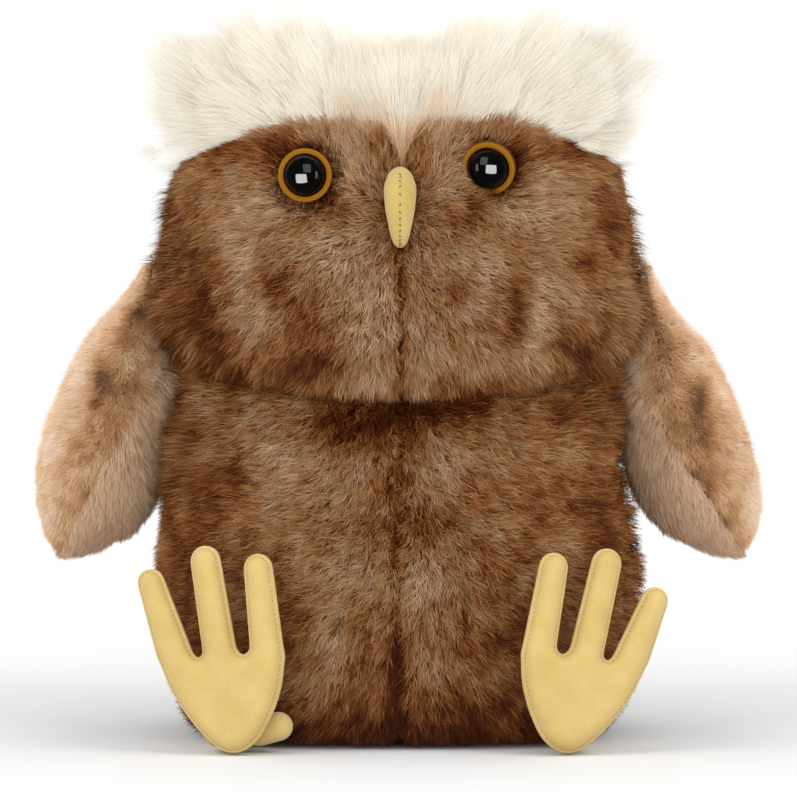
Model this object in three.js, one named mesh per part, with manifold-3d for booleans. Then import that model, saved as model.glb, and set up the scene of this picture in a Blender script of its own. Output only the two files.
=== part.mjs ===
// A seated plush owl: plush panels sewn round fibre stuffing, a long-haired crown, safety eyes, a suede beak,
// stuffed wings hinged at the shoulders and suede feet hinged at the heels.
// Millimetres, +Z up, the owl faces -Y and its own left side is +X.
// A plush panel's solid holds its backing cloth and its pile, so its outer face is where the fur ends.

import * as THREE from "three";
import { mergeVertices } from "three/addons/utils/BufferGeometryUtils.js";
import Module from "manifold-3d";

const wasm = await Module();
wasm.setup();

// Driving dimensions, in millimetres. Angles are in degrees.
const clearance = 0.3; // between pieces that touch
const ringPoints = 24; // points round a body or head section
const squareness = 2.4; // power of the superellipse that sections follow, 2 for an ellipse

const bodyHalfWidth = 81;
const bodyHalfDepth = 70;
const neckHeight = 136; // of the neck seam at the sides and the back
const chinDip = 25; // how far that seam drops under the chin
const plushThickness = 8; // backing cloth and pile
const baseThickness = 3;
// Each row is a share of the neck's height and the share of the full width there.
const bodyProfileShares = [
  [0, 0.79], [0.035, 0.9], [0.1, 0.965], [0.24, 1.01], [0.42, 1.02],
  [0.57, 0.99], [0.7, 0.935], [0.83, 0.9], [0.93, 0.87], [1, 0.82], [1.1, 0.72],
];

const headHalfWidth = 82;
const headHalfDepth = 69;
const headTop = 226; // under the crown's hair
const headProfileShares = [
  [-0.12, 0.68], [0, 0.82], [0.05, 0.93], [0.13, 0.995], [0.3, 1], [0.46, 0.975],
  [0.62, 0.94], [0.78, 0.86], [0.9, 0.71], [0.97, 0.45], [1, 0.2],
];

const crownHalfWidth = 86;
const crownHalfDepth = 74;
const crownTop = 240;
const crownBottom = 184;
const crownDip = 7; // of the hollow that runs back between its two lobes
const crownDipHalfWidth = 15;
const crownProfileShares = [
  [0, 0.875], [0.16, 0.925], [0.38, 0.99], [0.6, 1], [0.8, 0.985], [0.92, 0.915], [0.98, 0.75], [1, 0.52],
  [1, 0.3], [1, 0.16], [1, 0.03],
];
// The lower edge of the crown, seen from the front: a point over the beak and an arch over each eye.
const browPoint = 189;
const browArch = 205;
const browSide = 194;
const browPointShare = 0.13; // of the half width, where the point has widened into the arch
const browArchShare = 0.45;
const browRise = 8; // how far the point's sides climb before the arch

const pouchHalfWidth = 44;
const pouchHalfDepth = 38;
const pouchHeight = 20;
const pouchProfileShares = [[0, 0.8], [0.2, 0.97], [0.55, 1], [0.85, 0.84], [1, 0.55]];

// Where each eye sits and how far it looks outwards and down
const eyes = {
  left: { x: 28.5, z: 187, turn: -5, tip: 14 },
  right: { x: -30.5, z: 184.5, turn: 2, tip: 3 },
};
const eyeRingRadius = 8.7;
const eyeRingThickness = 3;
const pupilRadius = 6.5;
const pupilHeight = 5.4;
const stemRadius = 2.4;
const stemLength = 15;
const washerRadius = 7;
const washerThickness = 1.4;
const eyeSegments = 18;
const eyeProud = 1.8; // how far the ring stands out of the fur

const beakTop = 187;
const beakLength = 26;
const beakWidth = 11;
const beakDepth = 9; // front to back
const beakProud = 6.5; // how far it stands out of the fur
const beakPoints = 14;
// Each row is a share of the length from the top, the share of the width there, and of the depth there.
const beakProfileShares = [
  [0, 0.2, 0.2], [0.05, 0.55, 0.5], [0.14, 0.82, 0.78], [0.3, 1, 1], [0.5, 0.93, 0.97],
  [0.7, 0.75, 0.8], [0.87, 0.58, 0.62], [0.96, 0.42, 0.42], [1, 0.2, 0.2],
];

const wingLength = 95; // shoulder hinge to tip
const wingHalfThickness = 21.5;
const wingHalfWidth = 28; // front to back
const wingPileThickness = 5;
const wingHang = 18.5; // how far the wing hangs out from the vertical
const wingSeamTilt = 12; // the lining reaches only part of the way up to the shoulder
const wingPoints = 14;
const shoulderRadius = 8.5; // the rounded root, which turns in a hollow of the plush
const shoulderStandoff = 3.5; // from the side of the head to the hinge
const shoulderRise = 14; // of the hinge above the neck seam
const shoulderInset = 3; // how far the hollow runs past the root, front and back
const shoulderPlay = 0.8; // round the root in its hollow
const shoulderWidthShare = 0.62; // of the wing's width, where the root turns
// Each row is a share of the way from the top of the root to the tip, and the shares of the thickness and
// the width there, and of the thickness by which the middle lies inwards.
const wingProfileShares = [
  [0, 0.1, 0.2, 0], [0.015, 0.22, 0.35, 0], [0.043, 0.35, 0.5, 0], [0.082, 0.395, 0.6, 0],
  [0.14, 0.48, 0.68, 0.03], [0.22, 0.63, 0.78, 0.07], [0.335, 0.82, 0.89, 0.11], [0.45, 0.945, 0.96, 0.145],
  [0.585, 1, 1, 0.15], [0.72, 0.98, 0.97, 0.18], [0.817, 0.86, 0.87, 0.19], [0.904, 0.6, 0.65, 0.13],
  [0.962, 0.34, 0.42, 0.08], [1, 0.1, 0.15, 0.02],
];

const heelInset = 29; // from the body's side inwards to the middle of the heel
const heelStandoff = 7.5; // from the front of the body to the middle of the foot
const heelLift = 0.9; // of the rounded heel off the floor, so that it can roll forward
const footThickness = 9;
const footRoundingShare = 0.36; // of a toe's half width, by which the faces stop short of the outline
const footFlat = 1.6; // the part of the thickness that isn't rounded
const suedeThickness = 1;
const footLean = 5; // back towards the belly
const footYaw = 12; // soles turned outwards
const footRoll = { left: 7, right: 3 }; // toes turned outwards
const palmWidth = 40;
const palmHeight = 33;
const toeCurveSteps = 4;
const palmCurveSteps = 10;
const footBevelSteps = 2;
// Half outline of the palm, from the outer toe round the heel to the inner toe, as shares of its size.
const palmShares = [
  [0.6, 0.88], [0.52, 0.64], [0.37, 0.34], [0.21, 0.12], [0.1, 0.02],
  [-0.02, 0], [-0.15, 0.08], [-0.28, 0.3], [-0.38, 0.6], [-0.42, 0.9],
];
const toeReach = 61; // from the heel to the middle of the longest toe's tip
const toeHalfWidth = 5.4;
// Each row is a toe, from the outer one in: how far across and up its base lies, how far across and up its tip
// lies, and its half widths there. They are shares of the palm's width, the reach and the half width.
const toeShares = [
  [0.49, 0.54, 0.66, 0.9, 1.04, 0.8],
  [0.11, 0.53, 0.205, 1, 1, 0.89],
  [-0.275, 0.54, -0.225, 0.95, 0.98, 0.85],
];
const crotchDrop = 4; // how far the gap between two toes rounds below their bases
const outerToeCut = { left: 4, right: 0 }; // how much shorter the outer toe was sewn

const rearToeRadius = 4.8;
const rearToeLength = 16;
const rearToeLift = 14; // its tip points up from the floor
const rearToeInset = 0.5; // how far inwards from the heel its root starts
const rearToeSegments = 10;
const rearToeCapSegments = 3;

const legRadius = 6;
const legLength = 34;
const legOutset = 7; // outwards from the heel
const legSegments = 12;
// Each row is a share of the leg's length and the share of its radius there.
const legProfileShares = [[0, 0.86], [0.2, 1], [0.6, 0.97], [1, 0.8]];

const reach = 2 * crownTop; // larger than the toy, for the blocks that cut it

// Materials
const material = (color, roughness, metalness = 0) =>
  new THREE.MeshStandardMaterial({ color, roughness, metalness });
const brownPlush = material(0x85562f, 0.95);
const creamPlush = material(0xf2e8d6, 0.95);
const wingPlush = material(0xba9069, 0.95);
const liningPlush = material(0x9b806a, 0.9);
const yellowSuede = material(0xdfc27a, 0.85);
const fibreFill = material(0xf4f4f0, 1);
const beanCloth = material(0xc9c4ba, 0.9);
const blackGloss = material(0x070707, 0.08);
const amberGloss = material(0xb87a1a, 0.25);
const clearPlastic = material(0xd8d8d4, 0.4);

const degrees = THREE.MathUtils.degToRad;

// A closed manifold solid of a three.js geometry.
function solidOf(geometry) {
  const bare = geometry.clone();
  bare.deleteAttribute("normal");
  bare.deleteAttribute("uv");
  const merged = mergeVertices(bare);
  return new wasm.Manifold(
    new wasm.Mesh({
      numProp: 3,
      vertProperties: new Float32Array(merged.attributes.position.array),
      triVerts: new Uint32Array(merged.index.array),
    }),
  );
}

// Adds a solid to a group as a named mesh.
function addPiece(group, name, solid, look) {
  const { vertProperties, triVerts } = solid.getMesh();
  const geometry = new THREE.BufferGeometry();
  geometry.setAttribute("position", new THREE.BufferAttribute(vertProperties, 3));
  geometry.setIndex(new THREE.BufferAttribute(triVerts, 1));
  geometry.computeVertexNormals();
  const mesh = new THREE.Mesh(geometry, look);
  mesh.name = name;
  group.add(mesh);
}

// A skin through rings of points, closed at both ends by a fan round the ring's middle.
function loft(rings) {
  const count = rings[0].length;
  const points = rings.flat();
  const index = [];
  for (let row = 0; row + 1 < rings.length; row++) {
    for (let i = 0; i < count; i++) {
      const here = row * count + i;
      const next = row * count + ((i + 1) % count);
      index.push(here, next, here + count, next, next + count, here + count);
    }
  }
  for (const [row, top] of [[0, false], [rings.length - 1, true]]) {
    const middle = points.length;
    const sum = new THREE.Vector3();
    rings[row].forEach((point) => sum.add(point));
    points.push(sum.divideScalar(count));
    for (let i = 0; i < count; i++) {
      const here = row * count + i;
      const next = row * count + ((i + 1) % count);
      index.push(...(top ? [here, next, middle] : [next, here, middle]));
    }
  }
  const geometry = new THREE.BufferGeometry().setFromPoints(points);
  geometry.setIndex(index);
  return geometry;
}

// A superellipse section, with no point on the seams at the front, the back and the sides.
function section(halfWidth, halfDepth, count, power, heightAt) {
  const rounded = (value) => Math.sign(value) * Math.abs(value) ** (2 / power);
  return Array.from({ length: count }, (_, i) => {
    const angle = ((i + 0.5) / count) * 2 * Math.PI;
    const x = halfWidth * rounded(Math.cos(angle));
    const y = halfDepth * rounded(Math.sin(angle));
    return new THREE.Vector3(x, y, heightAt(y, x));
  });
}

// The neck seam is level round the back and sides and dips under the chin.
function neckAt(y) {
  return neckHeight - chinDip * THREE.MathUtils.smoothstep(-y, 0, bodyHalfDepth);
}

// The body's full form, larger all round by grow.
function bodyForm(grow) {
  return loft(
    bodyProfileShares.map(([heightShare, widthShare]) =>
      section(
        widthShare * (bodyHalfWidth + grow),
        widthShare * (bodyHalfDepth + grow),
        ringPoints,
        squareness,
        (y) => heightShare * neckAt(y),
      ),
    ),
  );
}

// The head's full form, larger all round by grow.
function headForm(grow) {
  return loft(
    headProfileShares.map(([heightShare, widthShare]) =>
      section(
        widthShare * (headHalfWidth + grow),
        widthShare * (headHalfDepth + grow),
        ringPoints,
        squareness,
        (y) => neckAt(y) + heightShare * (headTop + grow - neckAt(y)),
      ),
    ),
  );
}

// The volume that the crown's hair fills, with the head inside it: two lobes with a hollow between them.
function crownForm() {
  const heightAt = (x) => crownTop - crownBottom - crownDip * Math.exp(-((x / crownDipHalfWidth) ** 2));
  return loft(
    crownProfileShares.map(([heightShare, widthShare]) =>
      section(
        widthShare * crownHalfWidth,
        widthShare * crownHalfDepth,
        ringPoints,
        squareness,
        (y, x) => crownBottom + heightShare * heightAt(x),
      ),
    ),
  );
}

// Everything on one side of a plane through a point: towards is the direction that is kept.
function halfSpace(point, towards) {
  const block = new THREE.BoxGeometry(reach, reach, reach);
  block.translate(0, 0, reach / 2);
  const turn = new THREE.Quaternion().setFromUnitVectors(new THREE.Vector3(0, 0, 1), towards.clone().normalize());
  block.applyQuaternion(turn);
  block.translate(point.x, point.y, point.z);
  return solidOf(block);
}

const origin = new THREE.Vector3();
const right = new THREE.Vector3(1, 0, 0);
const back = new THREE.Vector3(0, 1, 0);
const up = new THREE.Vector3(0, 0, 1);

// One side of an upright seam plane, half a clearance away from it.
function sideOf(direction) {
  return halfSpace(direction.clone().multiplyScalar(clearance / 2), direction);
}

// All that lies above the neck seam, or below it, with a gap to the seam.
function neckSide(above, gap) {
  const steps = 10;
  const shape = new THREE.Shape();
  const far = above ? reach : -reach;
  const shift = above ? gap : -gap;
  shape.moveTo(-reach, far);
  shape.lineTo(-reach, neckAt(-reach) + shift);
  for (let i = 0; i <= steps; i++) {
    const y = -bodyHalfDepth * (1 - i / steps);
    shape.lineTo(y, neckAt(y) + shift);
  }
  shape.lineTo(reach, neckAt(reach) + shift);
  shape.lineTo(reach, far);
  const prism = new THREE.ExtrudeGeometry(shape, { depth: 2 * reach, bevelEnabled: false });
  // The shape's x runs front to back and its y up, so the prism runs along the toy's width.
  prism.translate(0, 0, -reach);
  prism.applyMatrix4(new THREE.Matrix4().makeBasis(back, up, right));
  return solidOf(prism);
}

// All that lies above the crown's lower edge, or below it. The front follows the brow, the back is level.
function browSideOf(above, gap) {
  const far = above ? reach : -reach;
  const shift = above ? gap : -gap;
  const shape = new THREE.Shape();
  const pointX = browPointShare * headHalfWidth;
  const archX = browArchShare * headHalfWidth;
  shape.moveTo(-reach, far);
  shape.lineTo(-reach, browSide + shift);
  shape.lineTo(-headHalfWidth, browSide + shift);
  shape.quadraticCurveTo(-(archX + headHalfWidth) / 2, browArch + shift, -archX, browArch + shift);
  shape.quadraticCurveTo(-(archX + pointX) / 2, browArch + shift, -pointX, browPoint + browRise + shift);
  shape.lineTo(0, browPoint + shift);
  shape.lineTo(pointX, browPoint + browRise + shift);
  shape.quadraticCurveTo((archX + pointX) / 2, browArch + shift, archX, browArch + shift);
  shape.quadraticCurveTo((archX + headHalfWidth) / 2, browArch + shift, headHalfWidth, browSide + shift);
  shape.lineTo(reach, browSide + shift);
  shape.lineTo(reach, far);
  const prism = new THREE.ExtrudeGeometry(shape, { depth: reach, bevelEnabled: false, curveSegments: 6 });
  // The prism runs from the middle of the head to the front.
  prism.applyMatrix4(new THREE.Matrix4().makeBasis(right, up, back.clone().negate()));
  const level = new THREE.Vector3(0, 0, browSide + shift);
  const rear = halfSpace(level, above ? up : up.clone().negate()).intersect(halfSpace(origin, back));
  return solidOf(prism).add(rear);
}

// The width share of a profile at a share of its height.
function shareAt(profile, heightShare) {
  const next = Math.max(1, profile.findIndex(([height]) => height >= heightShare));
  const [[low, lowWidth], [high, highWidth]] = [profile[next - 1], profile[next]];
  return THREE.MathUtils.mapLinear(heightShare, low, high, lowWidth, highWidth);
}

// How far forward the face's fur reaches at a place seen from the front.
function faceDepthAt(x, z) {
  const chin = neckHeight - chinDip;
  const widthShare = shareAt(headProfileShares, (z - chin) / (headTop - chin));
  const side = Math.min(1, Math.abs(x) / (widthShare * headHalfWidth));
  return widthShare * headHalfDepth * (1 - side ** squareness) ** (1 / squareness);
}

// A group's own frame, as the matrix that brings the toy's frame into it.
function intoFrameOf(group) {
  group.updateWorldMatrix(true, false);
  return group.matrixWorld.clone().invert();
}

const toy = new THREE.Group();

// The hinge of each wing
const hingeX = headHalfWidth + shoulderStandoff;
const hingeZ = neckHeight + shoulderRise;

// The hollows in the plush that the wings' roots turn in, or with no play the room that the roots take up there
function shoulderHollow(play) {
  const length = 2 * (shoulderWidthShare * wingHalfWidth + shoulderInset + play);
  const radius = shoulderRadius + play;
  const drum = new THREE.CylinderGeometry(radius, radius, length, ringPoints);
  const made = [1, -1].map((side) => solidOf(drum.clone().translate(side * hingeX, 0, hingeZ)));
  return made[0].add(made[1]);
}

// The body: four plush panels, a base panel, stuffing and a pouch of beans
function addBody() {
  const outside = solidOf(bodyForm(0));
  const below = neckSide(false, clearance / 2);
  const base = halfSpace(up.clone().multiplyScalar(baseThickness), up.clone().negate());
  const overBase = halfSpace(up.clone().multiplyScalar(baseThickness + clearance), up);
  const skin = outside
    .subtract(solidOf(bodyForm(-plushThickness)))
    .intersect(below)
    .intersect(overBase)
    .subtract(shoulderHollow(shoulderPlay));
  for (const [name, front, side] of [
    ["body_front_left", true, 1], ["body_front_right", true, -1],
    ["body_back_left", false, 1], ["body_back_right", false, -1],
  ]) {
    const quarter = sideOf(right.clone().multiplyScalar(side)).intersect(
      sideOf(back.clone().multiplyScalar(front ? -1 : 1)),
    );
    addPiece(toy, name, skin.intersect(quarter), brownPlush);
  }
  addPiece(toy, "base_panel", outside.intersect(base), brownPlush);

  const floor = baseThickness + clearance;
  const pouchForm = (grow) =>
    loft(
      pouchProfileShares.map(([heightShare, widthShare]) =>
        section(
          widthShare * (pouchHalfWidth + grow), widthShare * (pouchHalfDepth + grow),
          ringPoints, squareness, () => floor + heightShare * (pouchHeight + grow),
        ),
      ),
    );
  addPiece(toy, "bean_pouch", solidOf(pouchForm(0)), beanCloth);
  const fill = solidOf(bodyForm(-plushThickness - clearance))
    .intersect(neckSide(false, clearance))
    .intersect(overBase)
    .subtract(solidOf(pouchForm(clearance)));
  addPiece(toy, "body_stuffing", fill, fibreFill);
}

// The frame of an eye: its origin is in the fur's surface and its -Y axis is the way it looks.
function eyeFrame({ x, z, turn, tip }) {
  const frame = new THREE.Group();
  frame.position.set(x, -faceDepthAt(x, z), z);
  frame.rotation.order = "ZXY";
  frame.rotation.set(degrees(tip), 0, degrees(Math.sign(x) * turn));
  toy.add(frame);
  return frame;
}

// A solid of revolution about an eye's axis, from a profile of radius and distance behind the front of the ring
function turnedEye(profile) {
  const points = profile.map(([radius, depth]) => new THREE.Vector2(radius, depth));
  const turned = new THREE.LatheGeometry(points, eyeSegments);
  turned.translate(0, -eyeProud, 0);
  return turned;
}

// The plush behind an eye's ring, where the washer grips it
const ringBack = eyeRingThickness + clearance;
const washerFront = plushThickness + eyeProud + clearance;

// What an eye takes out of the face and the stuffing: a seat for the ring, the stem's hole and room for the washer
function eyeSeat(frame) {
  const seat = turnedEye([
    [0, -reach], [eyeRingRadius + clearance, -reach], [eyeRingRadius + clearance, ringBack],
    [stemRadius + clearance, ringBack], [stemRadius + clearance, washerFront - clearance],
    [washerRadius + clearance, washerFront - clearance],
    [washerRadius + clearance, washerFront + washerThickness + clearance],
    [stemRadius + clearance, washerFront + washerThickness + clearance],
    [stemRadius + clearance, stemLength + clearance], [0, stemLength + clearance],
  ]);
  frame.updateWorldMatrix(true, false);
  return solidOf(seat.applyMatrix4(frame.matrixWorld));
}

function addEye(name, frame) {
  const dome = [[0, -pupilHeight]];
  const domeSteps = 5;
  for (let i = 1; i <= domeSteps; i++) {
    const angle = ((i / domeSteps) * Math.PI) / 2;
    dome.push([pupilRadius * Math.sin(angle), -pupilHeight * Math.cos(angle)]);
  }
  const seatDepth = eyeRingThickness / 2;
  dome.push([pupilRadius, seatDepth - clearance], [stemRadius, seatDepth - clearance]);
  dome.push([stemRadius, stemLength], [0, stemLength]);
  addPiece(frame, "eye_" + name, solidOf(turnedEye(dome)), blackGloss);

  const bore = pupilRadius + clearance;
  const stemHole = stemRadius + clearance;
  const rounding = (eyeRingRadius - bore) / 2;
  const ring = turnedEye([
    [bore, 0], [eyeRingRadius - rounding, 0], [eyeRingRadius, rounding], [eyeRingRadius, eyeRingThickness],
    [stemHole, eyeRingThickness], [stemHole, seatDepth], [bore, seatDepth], [bore, 0],
  ]);
  addPiece(frame, "eye_ring_" + name, solidOf(ring), amberGloss);

  const washer = turnedEye([
    [stemHole, washerFront], [washerRadius, washerFront], [washerRadius, washerFront + washerThickness],
    [stemHole, washerFront + washerThickness], [stemHole, washerFront],
  ]);
  addPiece(frame, "eye_washer_" + name, solidOf(washer), clearPlastic);
}

// The head: face and back panels, the crown, stuffing, eyes and beak
function addHead() {
  const inside = solidOf(headForm(-plushThickness));
  const above = neckSide(true, clearance / 2);
  const frames = { left: eyeFrame(eyes.left), right: eyeFrame(eyes.right) };
  const seats = eyeSeat(frames.left).add(eyeSeat(frames.right));
  const skin = solidOf(headForm(0))
    .subtract(inside)
    .intersect(above)
    .intersect(browSideOf(false, clearance / 2))
    .subtract(shoulderHollow(shoulderPlay))
    .subtract(seats);
  for (const [name, front, side] of [
    ["face_left", true, 1], ["face_right", true, -1],
    ["head_back_left", false, 1], ["head_back_right", false, -1],
  ]) {
    const quarter = sideOf(right.clone().multiplyScalar(side)).intersect(
      sideOf(back.clone().multiplyScalar(front ? -1 : 1)),
    );
    addPiece(toy, name, skin.intersect(quarter), brownPlush);
  }
  const crown = solidOf(crownForm())
    .intersect(browSideOf(true, clearance / 2))
    .subtract(inside)
    .subtract(seats);
  for (const [name, side] of [["crown_left", 1], ["crown_right", -1]]) {
    addPiece(toy, name, crown.intersect(sideOf(right.clone().multiplyScalar(side))), creamPlush);
  }
  const fill = solidOf(headForm(-plushThickness - clearance))
    .intersect(neckSide(true, clearance))
    .subtract(seats);
  addPiece(toy, "head_stuffing", fill, fibreFill);
  for (const name of Object.keys(frames)) {
    addEye(name, frames[name]);
  }

  const rings = beakProfileShares.map(([lengthShare, widthShare, depthShare]) => {
    const z = beakTop - lengthShare * beakLength;
    const ring = section(
      (widthShare * beakWidth) / 2, (depthShare * beakDepth) / 2, beakPoints, 2, () => z,
    );
    const front = -faceDepthAt(0, z) - beakProud * depthShare;
    return ring.map((point) => point.add(new THREE.Vector3(0, front + (depthShare * beakDepth) / 2, 0)));
  });
  const beak = solidOf(loft(rings.reverse())).subtract(solidOf(headForm(clearance)));
  addPiece(toy, "beak", beak, yellowSuede);
}

// A wing's form in its own frame: the hinge is the origin and the tip lies down its -Z axis.
function wingForm(side, inset) {
  const start = shoulderRadius - inset;
  const end = -wingLength + inset;
  return loft(
    wingProfileShares
      .map(([along, thick, wide, inwards]) => {
        const z = THREE.MathUtils.lerp(start, end, along);
        const middle = -side * inwards * wingHalfThickness;
        return section(
          thick * (wingHalfThickness - inset), wide * (wingHalfWidth - inset), wingPoints, 2, () => z,
        ).map((point) => point.add(new THREE.Vector3(middle, 0, 0)));
      })
      .reverse(),
  );
}

// A wing: an outer panel and a lining sewn round its edge, over stuffing, pressed flat where it meets the body
function addWing(name, side) {
  const wing = new THREE.Group();
  wing.position.set(side * hingeX, 0, hingeZ);
  wing.rotation.y = degrees(-side * wingHang);
  toy.add(wing);
  const local = intoFrameOf(wing);
  const hollow = shoulderHollow(0);
  // The body and the head, larger by a gap, without the hollow that the root lies in
  const neighbours = (gap) => {
    const grown = solidOf(bodyForm(gap)).add(solidOf(headForm(gap))).subtract(hollow);
    return grown.transform(local.toArray());
  };
  const outside = solidOf(wingForm(side, 0)).subtract(neighbours(clearance));
  const inside = solidOf(wingForm(side, wingPileThickness)).subtract(neighbours(clearance + wingPileThickness));
  const fillInset = wingPileThickness + clearance;
  const fill = solidOf(wingForm(side, fillInset)).subtract(neighbours(fillInset + clearance));
  const skin = outside.subtract(inside);
  const tip = new THREE.Vector3(0, 0, -wingLength);
  const outwards = new THREE.Vector3(side, 0, 0).applyAxisAngle(back, degrees(-side * wingSeamTilt));
  const half = (direction) =>
    halfSpace(tip.clone().addScaledVector(direction, clearance / 2), direction);
  addPiece(wing, "wing_" + name + "_outer", skin.intersect(half(outwards)), wingPlush);
  addPiece(wing, "wing_" + name + "_lining", skin.intersect(half(outwards.clone().negate())), liningPlush);
  addPiece(wing, "wing_" + name + "_stuffing", fill, fibreFill);
}

// The outline of a foot standing on its heel, toes up
function footOutline(side) {
  const cut = side > 0 ? outerToeCut.left : outerToeCut.right;
  const place = (xShare, z) => new THREE.Vector2(side * xShare * palmWidth, z);
  const palm = palmShares.map(([xShare, zShare]) => place(xShare, zShare * palmHeight));
  const points = [palm.at(-1)];
  for (const [index, share] of [...toeShares.entries()].reverse()) {
    const base = place(share[0], share[1] * toeReach);
    const tip = place(share[2], share[3] * toeReach);
    const baseHalf = share[4] * toeHalfWidth;
    const tipHalf = share[5] * toeHalfWidth;
    const along = tip.clone().sub(base).normalize();
    tip.addScaledVector(along, index === 0 ? -cut : 0);
    // Across the toe, towards the inner side of the foot
    const across = new THREE.Vector2(-side * along.y, side * along.x);
    const rise = base.clone().addScaledVector(across, baseHalf);
    if (index + 1 < toeShares.length) {
      const last = points.at(-1);
      const low = new THREE.Vector2((last.x + rise.x) / 2, Math.min(last.y, rise.y) - crotchDrop);
      points.push(...new THREE.QuadraticBezierCurve(last, low, rise).getPoints(toeCurveSteps / 2).slice(1));
    } else {
      points.push(rise);
    }
    for (let i = 0; i <= toeCurveSteps; i++) {
      const turn = (i / toeCurveSteps) * Math.PI;
      points.push(
        tip.clone()
          .addScaledVector(across, tipHalf * Math.cos(turn))
          .addScaledVector(along, tipHalf * Math.sin(turn)),
      );
    }
    points.push(base.clone().addScaledVector(across, -baseHalf));
  }
  points.push(...new THREE.SplineCurve(palm).getPoints(palmCurveSteps).slice(0, -1));
  return new THREE.Shape(points);
}

// A foot's form in its own frame: the heel's middle is the origin and -Y is the sole's side.
function footForm(side, inset) {
  const rounded = (footThickness - footFlat) / 2;
  const footRounding = footRoundingShare * toeHalfWidth;
  const form = new THREE.ExtrudeGeometry(footOutline(side), {
    depth: footFlat,
    bevelThickness: rounded - inset,
    bevelSize: footRounding,
    bevelOffset: -footRounding - inset,
    bevelSegments: footBevelSteps,
  });
  form.translate(0, 0, -footFlat / 2);
  form.rotateX(degrees(90));
  form.translate(0, 0, -footThickness / 2);
  return form;
}

// A foot: a sole and an upper of suede sewn round their edge over stuffing, and the rear toe behind the heel
function addFoot(name, side) {
  const heel = new THREE.Group();
  heel.position.set(
    side * (bodyHalfWidth - heelInset), -(bodyHalfDepth + heelStandoff), footThickness / 2 + heelLift,
  );
  heel.rotation.z = degrees(side * footYaw);
  toy.add(heel);
  const foot = new THREE.Group();
  foot.rotation.order = "XYZ";
  foot.rotation.set(degrees(-footLean), degrees(side * footRoll[name]), 0);
  heel.add(foot);
  const belly = solidOf(bodyForm(clearance)).transform(intoFrameOf(foot).toArray());
  const skin = solidOf(footForm(side, 0)).subtract(solidOf(footForm(side, suedeThickness))).subtract(belly);
  addPiece(foot, "foot_" + name + "_sole", skin.intersect(sideOf(back.clone().negate())), yellowSuede);
  addPiece(foot, "foot_" + name + "_upper", skin.intersect(sideOf(back)), yellowSuede);
  const fill = solidOf(footForm(side, suedeThickness + clearance)).subtract(belly);
  addPiece(foot, "foot_" + name + "_stuffing", fill, fibreFill);

  const behind = footThickness / 2 + clearance;
  const toe = new THREE.CapsuleGeometry(
    rearToeRadius, rearToeLength - 2 * rearToeRadius, rearToeCapSegments, rearToeSegments,
  );
  toe.translate(0, rearToeLength / 2, 0);
  toe.rotateZ(degrees(side * (90 - rearToeLift)));
  toe.applyMatrix4(new THREE.Matrix4().makeBasis(right, up, back.clone().negate()));
  toe.translate(-side * rearToeInset, behind + rearToeRadius, rearToeRadius - footThickness / 2);
  addPiece(heel, "foot_" + name + "_rear_toe", solidOf(toe), yellowSuede);

  const profile = legProfileShares.map(
    ([along, wide]) => new THREE.Vector2(wide * legRadius, along * legLength),
  );
  const leg = new THREE.LatheGeometry(
    [new THREE.Vector2(0, 0), ...profile, new THREE.Vector2(0, legLength)], legSegments,
  );
  leg.translate(side * legOutset, behind + clearance, legRadius - footThickness / 2);
  const body = solidOf(bodyForm(clearance)).transform(intoFrameOf(heel).toArray());
  addPiece(heel, "leg_" + name, solidOf(leg).subtract(body), yellowSuede);
}

addBody();
addHead();
for (const [name, side] of [["left", 1], ["right", -1]]) {
  addWing(name, side);
  addFoot(name, side);
}

// The toy stands centred over its origin.
toy.updateMatrixWorld(true);
const extent = new THREE.Box3().setFromObject(toy, true);
toy.position.y = -(extent.min.y + extent.max.y) / 2;

export default toy;
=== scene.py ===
import itertools
import math

import bpy
import numpy as np
from mathutils import Matrix, Vector, geometry


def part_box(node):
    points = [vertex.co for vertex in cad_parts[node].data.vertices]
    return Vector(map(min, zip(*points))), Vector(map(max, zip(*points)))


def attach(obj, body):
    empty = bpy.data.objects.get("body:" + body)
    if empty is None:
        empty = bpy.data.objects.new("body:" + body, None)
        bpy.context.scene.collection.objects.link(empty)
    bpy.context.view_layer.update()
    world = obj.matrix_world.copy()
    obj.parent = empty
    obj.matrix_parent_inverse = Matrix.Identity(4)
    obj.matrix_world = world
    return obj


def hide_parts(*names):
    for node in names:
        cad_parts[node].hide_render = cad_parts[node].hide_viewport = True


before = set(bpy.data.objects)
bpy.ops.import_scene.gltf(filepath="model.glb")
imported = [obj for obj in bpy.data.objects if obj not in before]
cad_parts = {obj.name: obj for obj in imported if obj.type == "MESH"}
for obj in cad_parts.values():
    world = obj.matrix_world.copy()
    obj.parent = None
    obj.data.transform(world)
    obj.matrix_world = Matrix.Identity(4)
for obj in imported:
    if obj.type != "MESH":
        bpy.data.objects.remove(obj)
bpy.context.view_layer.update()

# A seated plush owl, dressed: every strand of its pile, its suede and thread, and its eyes.
# The owl's lengths are in millimetres, in a frame whose y = 0 lies in the side seams. Angles are written in
# degrees, and the turns that the surfaces take are in radians. Lamps and the floor are in metres.
METRE = 0.001
TINY = 1e-9
SIDES = {"left": 1, "right": -1}
FULL_TURN = 2 * math.pi
MIDDLE = 1000 * (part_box("body_front_left")[1].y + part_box("body_back_left")[0].y) / 2

# The photograph's view: a level camera, and the scale in the plane y = 0
PHOTO_SIZE = 797
MM_PER_PIXEL = 0.34
VIEW_DISTANCE = 1100
PIXEL_X = 400  # the column that shows x = 0
PIXEL_Y = 398  # the row that shows the height below
PIXEL_Y_HEIGHT = 113
SENSOR_WIDTH = 36

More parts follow.
